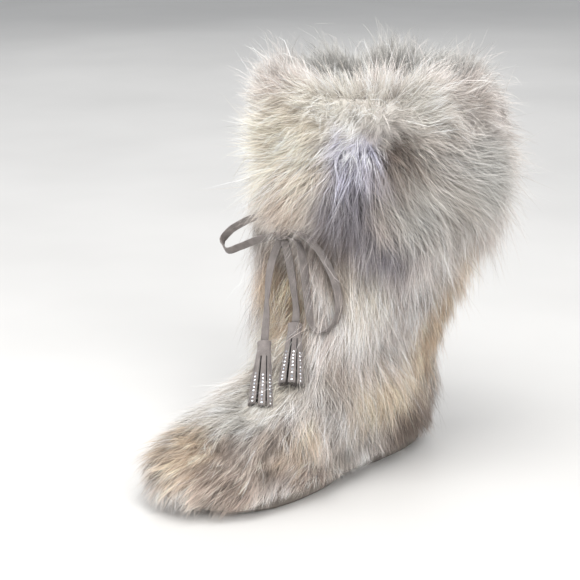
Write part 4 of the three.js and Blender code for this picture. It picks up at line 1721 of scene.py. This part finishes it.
@dataclass
class Tassel:
    """A rolled suede sleeve cut into strips, with a row of stones down each strip."""

    name: str
    node: str
    top: Point
    tip: Point
    seed: int
    across: Point = (-0.5, 0.85, 0)
    around: int = 28
    lap: float = 0.05
    lap_angle: float = 1.2
    lap_width: float = 0.1
    sleeve: float = 13
    radius: float = 5.5
    flatness: float = 0.65
    strips: int = 7
    strip_rings: int = 12
    strip_width: float = 5.9
    strip_thick: float = 1.3
    strip_tuck: float = 5
    strip_start: float = 0.86
    strip_ends: Span = (-0.03, 0.01)
    strip_curls: Span = (-0.3, 0.7)
    reach: float = 9.0
    flare: float = 0.6
    stones: int = 9
    stone_size: float = 1.9
    stone_pitch: float = 2.9
    stone_margin: float = 2.4
    stone_tilt: float = 0.16
    stone_sides: int = 8

    STRIP_CROWN = 1.25
    STRIP_SECTION = ((-1, -1), (-1, 1), (-0.9, STRIP_CROWN), (0.9, STRIP_CROWN), (1, 1), (1, -1))
    # From inside the open top over the rim: way down, share of the radius
    SLEEVE = (
        (6.0, 0.7), (1.2, 0.82), (0.0, 0.88), (-0.3, 0.98), (0.2, 1.05), (1.8, 1.05), (2.6, 1.0), (9.0, 1.02),
    )
    SLEEVE_HEM = 1.08
    # Rings of a stone: share of its radius, height, and turn in sides
    STONE_CUT = ((1.0, 0.0, 0.0), (0.94, 0.28, 0.0), (0.55, 0.62, 0.5))

    def axes(self) -> tuple[Array, Array, Array, float]:
        """The tassel's own directions.

        Returns:
            Directions down, across and through the tassel, and its length.
        """
        along = np.subtract(self.tip, self.top).astype(float)
        length = float(np.linalg.norm(along))
        along /= length
        wide = np.asarray(self.across) - (np.asarray(self.across) @ along) * along
        wide /= np.linalg.norm(wide)
        return along, wide, np.cross(along, wide), length

    def place(self, down: Array, wide: Array, thin: Array) -> Array:
        """Points of the tassel from its own three measures.

        Args:
            down: Ways down from its top.
            wide: Ways across.
            thin: Ways through.

        Returns:
            Points, one row each.
        """
        a, w, t, _ = self.axes()
        spots = np.asarray(self.top, float) + np.multiply.outer(down, a)
        return spots + np.multiply.outer(wide, w) + np.multiply.outer(thin, t)

    def ring(self, down: float, radius: float) -> Array:
        """An oval ring across the tassel.

        Args:
            down: How far down it lies.
            radius: Half of its wide way across.

        Returns:
            The ring's points.
        """
        angle = np.linspace(0, TURN, self.around, endpoint=False)
        lap = 1 + self.lap * np.exp(-((angle - self.lap_angle) ** 2) / self.lap_width)
        wide, thin = radius * lap * np.cos(angle), radius * lap * self.flatness * np.sin(angle)
        return self.place(np.full(self.around, down), wide, thin)

    def rings(self, profile: Rows) -> Array:
        """Oval rings from rows of way down and share of the radius."""
        return np.stack([self.ring(down, share * self.radius) for down, share in profile])

    def strip(self, number: int, end: float, curl: float) -> tuple[Array, Array]:
        """One cut strip and the places of its stones.

        Args:
            number: Which strip.
            end: How far down it ends.
            curl: How far its end turns out.

        Returns:
            Rings of the strip, and rows of place and facing for its stones.
        """
        angle = TURN * (number + 0.5) / self.strips
        out = np.array([math.cos(angle), self.flatness * math.sin(angle)])
        side = np.array([-math.sin(angle), self.flatness * math.cos(angle)])
        side /= np.linalg.norm(side)
        face = np.array([side[1], -side[0]])
        start = self.sleeve - self.strip_tuck
        inner = self.strip_start * self.radius

        def middle(down: float) -> tuple[Array, float]:
            """The strip's middle and half its width at a place.

            Args:
                down: How far down the place is.

            Returns:
                The middle and the half width.
            """
            share = (down - start) / (end - start)
            reach = inner + (self.reach - inner) * share
            turned_out = curl * math.sin(math.pi * share) + self.flare * curl * share**2
            return out * (reach + turned_out), 0.5 * self.strip_width * reach / self.reach

        rise = self.strip_thick / (2 * self.STRIP_CROWN)
        rings = []
        for down in np.linspace(start, end, self.strip_rings):
            spot, half = middle(down)
            rows = [spot + side * s * half + face * f * rise for s, f in self.STRIP_SECTION]
            rings.append(self.place(np.full(len(rows), down), *np.array(rows).T))
        stones = []
        _, wide, thin, _ = self.axes()
        facing = wide * face[0] + thin * face[1]
        for k in range(self.stones):
            down = end - self.stone_margin - self.stone_pitch * k
            spot = middle(down)[0] + face * 0.5 * self.strip_thick
            stones.append([self.place(np.array(down), *spot), facing])
        return np.array(rings), np.array(stones)

    def stone(self, spot: Array, facing: Array) -> tuple[Array, list[list[int]]]:
        """A round cut stone with a flat table.

        Args:
            spot: Middle of its foot.
            facing: Which way its table faces.

        Returns:
            Points, and point numbers of each face.
        """
        along, sides = self.axes()[0], self.stone_sides
        first = unit(along - (along @ facing) * facing)
        second = np.cross(facing, first)
        points = []
        for share, height, turn in self.STONE_CUT:
            for k in range(sides):
                a = TURN * (k + turn) / sides
                flat = first * math.cos(a) + second * math.sin(a)
                points.append(spot + (flat * share + facing * height) * self.stone_size / 2)
        faces = []
        for ring in (0, sides):
            for k in range(sides):
                n = (k + 1) % sides
                faces.append([ring + k, ring + n, ring + sides + n, ring + sides + k])
        faces.append([2 * sides + k for k in range(sides)])
        return np.array(points), faces

    def shadow_core(self) -> Rows:
        """A dark core inside the strips: painted shade that shows in the slits between them."""
        length = self.axes()[3]
        return (3, 0.45), (self.sleeve, 0.62), (length - 16, 0.85), (length - 7, 0.9)

    def build(self) -> tuple[Object, Object, Object]:
        """Makes the suede, the stones and a dark core of painted shade.

        Returns:
            The tassel, its stones as one piece, and its dark core of painted shade.
        """
        rng = np.random.default_rng(SEED + self.seed)
        length = self.axes()[3]
        suede, bright, inner = Pieces(), Pieces(), Pieces()
        suede.loft(self.rings((*self.SLEEVE, (self.sleeve, self.SLEEVE_HEM))), capped=False)
        for number in range(self.strips):
            end = (length - 1) * (1 + rng.uniform(*self.strip_ends))
            rings, stones = self.strip(number, end, rng.uniform(*self.strip_curls))
            suede.loft(rings)
            for spot, facing in stones:
                bright.add(*self.stone(spot, unit(facing + rng.normal(0, self.stone_tilt, 3))))
        inner.loft(self.rings(self.shadow_core()))
        return (
            suede.build(self.name),
            bright.build(self.name + "_stones", smooth=False),
            inner.build(self.name + "_core"),
        )


@dataclass
class Knot:
    """The bow's knot: a strap wound tight round the crossing of the straps."""

    name: str = "bow_knot"
    node: str = "tie_knot"
    middle: Point = (101, -9.5, 198)
    deep: float = 9
    wide: float = 12
    tall: float = 12
    pillow_rings: int = 19
    pillow_around: int = 30
    pillow_square: float = 0.8
    swell_size: float = 0.86
    swell_least: float = 0.05
    swell_fall: float = 3.2
    swell_round: float = 0.45
    creases: int = 6
    crease: float = 0.07
    crease_twist: float = 2
    crease_edge: float = 0.6
    crease_fade: float = 0.5
    winding_steps: int = 44
    winding_inset: float = 0.2
    winding_square: float = 0.75
    winding_half: float = 2.75
    winding_thick: float = 0.6
    slant: float = 0.9

    def pillow(self) -> Array:
        """The crossing's pillow, from side to side.

        Returns:
            Rings by points by three.
        """
        angle = np.linspace(0, TURN, self.pillow_around, endpoint=False)
        rings = []
        for a in np.linspace(-1, 1, self.pillow_rings):
            swell = (1 - abs(a) ** self.swell_fall) ** self.swell_round
            swell = swell * self.swell_size + self.swell_least
            folded = np.cos(angle * self.creases + self.crease_twist * a) > self.crease_edge
            swell = swell * (1 - self.crease * folded * (1 - self.crease_fade * abs(a)))
            x = self.deep / 2 * swell * squared(np.cos(angle), self.pillow_square)
            z = self.tall / 2 * swell * squared(np.sin(angle), self.pillow_square)
            rings.append(np.stack([x, np.full(len(angle), a * self.wide / 2), z], axis=1) + self.middle)
        return np.array(rings)

    def winding(self) -> Array:
        """The strap wound round the pillow.

        Returns:
            Its sections, rings by points by three.
        """
        rings = []
        for angle in np.linspace(0, TURN, self.winding_steps, endpoint=False):
            x = (self.deep / 2 - self.winding_inset) * squared(math.cos(angle), self.winding_square)
            z = (self.tall / 2 - self.winding_inset) * squared(math.sin(angle), self.winding_square)
            out = unit(np.array([x / self.deep**2, 0, z / self.tall**2]))
            wide, thick = Strap.section().T
            ring = np.add(self.middle, (x, 0, z)) + np.multiply.outer(thick * self.winding_thick, out)
            ring[:, 1] += wide * self.winding_half + self.slant * math.sin(angle)
            rings.append(ring)
        return np.array(rings)

    def build(self) -> Object:
        """Makes the crossing's pillow and the strap wound round it.

        Returns:
            The knot.
        """
        body = Pieces()
        body.loft(self.pillow())
        body.loft(self.winding(), closed=True)
        return body.build(self.name)


@dataclass
class Tie:
    """The suede tie under the cuff: its band, knot, loops, ends and tassels."""

    band: Object
    suede: SuedeFinish = field(default_factory=SuedeFinish)
    # A near-black suede for the tassels' cores: painted shade in the slits between the strips
    shadow: SuedeFinish = SuedeFinish(
        "painted_shadow_suede", ((0.3, (30, 27, 26)), (0.5, (42, 38, 36)), (0.72, (54, 49, 46)))
    )
    stone: StoneFinish = field(default_factory=StoneFinish)
    knot: Knot = field(default_factory=Knot)
    covered: float = 190
    strap_bed: float = 1.6
    tassel_bed: float = 1.5
    strap_spots: int = 40
    tassel_spots: int = 18
    cord_points: int = 36
    loops: tuple[Strap, ...] = (
        Strap(
            "bow_loop_medial",
            "tie_loop_medial",
            (0.5, 0.1, 0.85),
            (
                (101, -15.1, 201.2), (100.5, -28.5, 206), (100, -41.7, 204.5), (99, -59.2, 196.6),
                (98, -74.7, 187.2), (98, -82.5, 177.9), (98.5, -78.2, 171.2), (100, -59.7, 177.5),
                (101.5, -40.4, 186), (102, -15, 194.9),
            ),
        ),
        Strap(
            "bow_loop_lateral",
            "tie_loop_lateral",
            (0.9, 0.1, 0.4),
            (
                (101, -4.1, 194.8), (101, 7, 193), (100, 12, 179.3), (99, 13.9, 160.1),
                (98.5, 16.4, 143.4), (98, 19.7, 128.5), (97, 25.2, 122.9), (95.5, 33.6, 125.1),
                (94, 41.9, 134.7), (93, 44.1, 145.4), (93, 40.9, 162.4), (95.5, 33.7, 179.1),
                (98.5, 24.8, 191.6), (101, 13.2, 199.5), (101, -3.9, 201.9),
            ),
            twist=((0, 0), (0.12, 38), (0.36, 38), (0.5, 0), (0.64, -38), (0.88, -38), (1, 0)),
            rings=96,
        ),
    )
    ends: tuple[Strap, ...] = (
        Strap(
            "bow_end_medial",
            "tie_end_medial",
            (-0.5, 0.85, 0),
            (
                (101, -12, 191.7), (103, -18, 177), (106, -19.5, 164), (112, -16.4, 143.8),
                (117, -12.6, 127.5), (120.7, -10.5, 113.5),
            ),
            twist=((0, 0), (0.35, 10), (0.62, 52), (0.85, 12), (1, 0)),
            tuck=3.5,
        ),
        Strap(
            "bow_end_lateral",
            "tie_end_lateral",
            (-0.5, 0.85, 0),
            (
                (101, -7, 191.7), (100, -2.9, 175), (99.5, 1.4, 151.3), (100, 4.2, 136),
                (100.8, 4.1, 126.8),
            ),
            twist=((0, 0), (0.4, 6), (0.75, 34), (1, 0)),
            tuck=3.5,
        ),
    )
    tassels: tuple[Tassel, ...] = (
        Tassel("tassel_long", "tassel_medial", (121, -10.4, 112.3), (148, 12.6, 68.9), 21),
        Tassel("tassel_short", "tassel_lateral", (101, 3.8, 125.8), (125, 22.5, 84), 22),
    )

    def keep(self, piece: Object, *nodes: str) -> None:
        """Covers a piece in suede and lets it stand for solids."""
        self.suede.dress(piece)
        settle(piece, "suede", *nodes)

    def declare(self, strap: Strap, piece: Object, far_end: str, *others: Object) -> None:
        """Logs a strap's length along its route.

        Args:
            strap: The strap's sizes.
            piece: Its mesh.
            far_end: What is on its far end; not used.
            others: Pieces that go with it; not used.
        """
        way = strap.route(self.cord_points)
        LOG.info("%s: %.0f mm long", piece.name, route_length(way) / MM)

    def comb(self) -> Comb:
        """What the tie presses down on the fur.

        Returns:
            A comb with the straps' and tassels' places.
        """
        spots, halves, depths = [], [], []
        for strap in (*self.loops, *self.ends):
            way = strap.route(self.strap_spots)
            way = way[way[:, 2] < self.covered]
            spots.append(way)
            halves.append(np.full(len(way), strap.width / 2))
            depths.append(np.full(len(way), self.strap_bed))
        for tassel in self.tassels:
            share = np.linspace(0, 1, self.tassel_spots)
            spots.append(tassel.place(share * tassel.axes()[3], 0 * share, 0 * share))
            halves.append(tassel.radius + (tassel.reach - tassel.radius) * share)
            depths.append(tassel.flatness * halves[-1] + self.tassel_bed)
        return Comb(np.vstack(spots), np.concatenate(halves), np.concatenate(depths))

    def build(self) -> None:
        """Makes the whole tie."""
        self.suede.dress(self.band)
        knot = self.knot.build()
        self.keep(knot, self.knot.node)
        for number, strap in enumerate(self.loops):
            piece = strap.build()
            self.keep(piece, strap.node)
            self.declare(strap, piece, "object", *([knot] if number == 0 else []))
        for strap, tassel in zip(self.ends, self.tassels):
            piece = strap.build()
            self.keep(piece, strap.node)
            body, stones, shadow_core = tassel.build()
            self.keep(body, tassel.node)
            self.stone.dress(stones)
            # The core's dark suede is painted shade for the slits
            self.shadow.dress(shadow_core)
            for extra in (stones, shadow_core):
                settle(extra, "suede")
            self.declare(strap, piece, "fitting", body, stones, shadow_core)


@dataclass
class Base:
    """The sole, the footbed and the hide, which keep the shape of their solids."""

    outsole: Object
    insole: Object
    upper: Object

    def dress(self) -> None:
        """Gives the three solids their finishes."""
        RubberFinish().dress(self.outsole)
        FeltFinish().dress(self.insole)
        HideFinish().dress(self.upper)
        LOG.info("outsole, insole and upper dressed")


@dataclass
class Lamp:
    """A soft square light."""

    name: str
    place: Point
    aim: Point
    size: float
    power: float
    colour: Colour = (255, 255, 255)

    def build(self) -> None:
        """Hangs the light."""
        data = bpy.data.lights.new(self.name, "AREA")
        data.shape = "SQUARE"
        data.size = self.size
        data.energy = self.power
        data.color = socket_colour(self.colour)[:3]
        lamp = bpy.data.objects.new(self.name, data)
        lamp.location = self.place
        heading = Vector(self.aim) - Vector(self.place)
        lamp.rotation_euler = heading.to_track_quat("-Z", "Y").to_euler()
        bpy.context.scene.collection.objects.link(lamp)


@dataclass
class Studio:
    """Camera, floor and light."""

    azimuth: float = 135.414864
    elevation: float = 15.5375934
    roll: float = -0.3976
    distance: float = 1356.728
    target: Point = (102.567, 0, 153.239)
    focal: float = 1726.366
    frame: float = 580
    sensor: float = 36
    farthest: float = 50
    floor_size: float = 14000
    sky_colour: tuple[float, float, float, float] = (0.93, 0.96, 1.0, 1.0)
    sky_strength: float = 0.48
    lamps: tuple[Lamp, ...] = (
        Lamp("key", (0.9, 2.2, 2.0), (0.05, 0, 0.15), 1.6, 42),
        Lamp("fill", (2.0, -1.2, 1.3), (0.05, 0, 0.15), 1.8, 28),
        Lamp("top", (0.6, 0.5, 2.1), (0.05, 0, 0.2), 1.4, 38),
        Lamp("rear", (-1.5, -1.8, 1.5), (0.05, 0, 0.15), 1.8, 10),
    )

    def build(self) -> None:
        """Sets up camera, floor and light."""
        self.camera()
        self.floor()
        for lamp in self.lamps:
            lamp.build()
        world = bpy.data.worlds.new("soft_room")
        world.use_nodes = True
        sky = world.node_tree.nodes["Background"]
        sky.inputs["Color"].default_value = self.sky_colour
        sky.inputs["Strength"].default_value = self.sky_strength
        bpy.context.scene.world = world
        bpy.context.scene.view_settings.view_transform = "Standard"

    def camera(self) -> None:
        """Stands the camera at the photograph's angle to the boot."""
        a, e, r = (math.radians(v) for v in (self.azimuth, self.elevation, self.roll))
        back = Vector((math.sin(a) * math.cos(e), -math.cos(a) * math.cos(e), math.sin(e)))
        right = Vector((math.cos(a), math.sin(a), 0))
        up = back.cross(right)
        rolled = right * math.cos(r) + up * math.sin(r)
        over = up * math.cos(r) - right * math.sin(r)
        data = bpy.data.cameras.new("camera")
        data.sensor_width = self.sensor
        data.lens = self.focal / self.frame * self.sensor
        data.clip_end = self.farthest
        made = bpy.data.objects.new("camera", data)
        matrix = made.matrix_world.copy()
        spot = (Vector(self.target) + back * self.distance) * MM
        for k in range(3):
            matrix[k][0], matrix[k][1], matrix[k][2], matrix[k][3] = rolled[k], over[k], back[k], spot[k]
        made.matrix_world = matrix
        bpy.context.scene.collection.objects.link(made)
        bpy.context.scene.camera = made

    def floor(self) -> None:
        """Lays the floor."""
        half = self.floor_size / 2
        body = Pieces()
        corners = np.array([[-half, -half, 0], [half, -half, 0], [half, half, 0], [-half, half, 0]])
        body.add(corners, [[0, 1, 2, 3]])
        made = body.build("floor")
        FloorFinish().dress(made)
        made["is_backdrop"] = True


def main() -> None:
    """Builds the boot's looks round its solids."""
    logging.basicConfig(level=logging.INFO, format="%(name)s %(message)s")
    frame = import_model()
    nodes = frame["nodes"]
    Studio().build()
    tie = Tie(nodes["tie_band"])
    tie.build()
    Base(nodes["outsole"], nodes["insole"], nodes["upper"]).dress()
    hide = Hide(nodes["upper"])
    Fur(hide).build(tie.comb())
    Lining(hide).build()


if __name__ == "__main__":
    main()
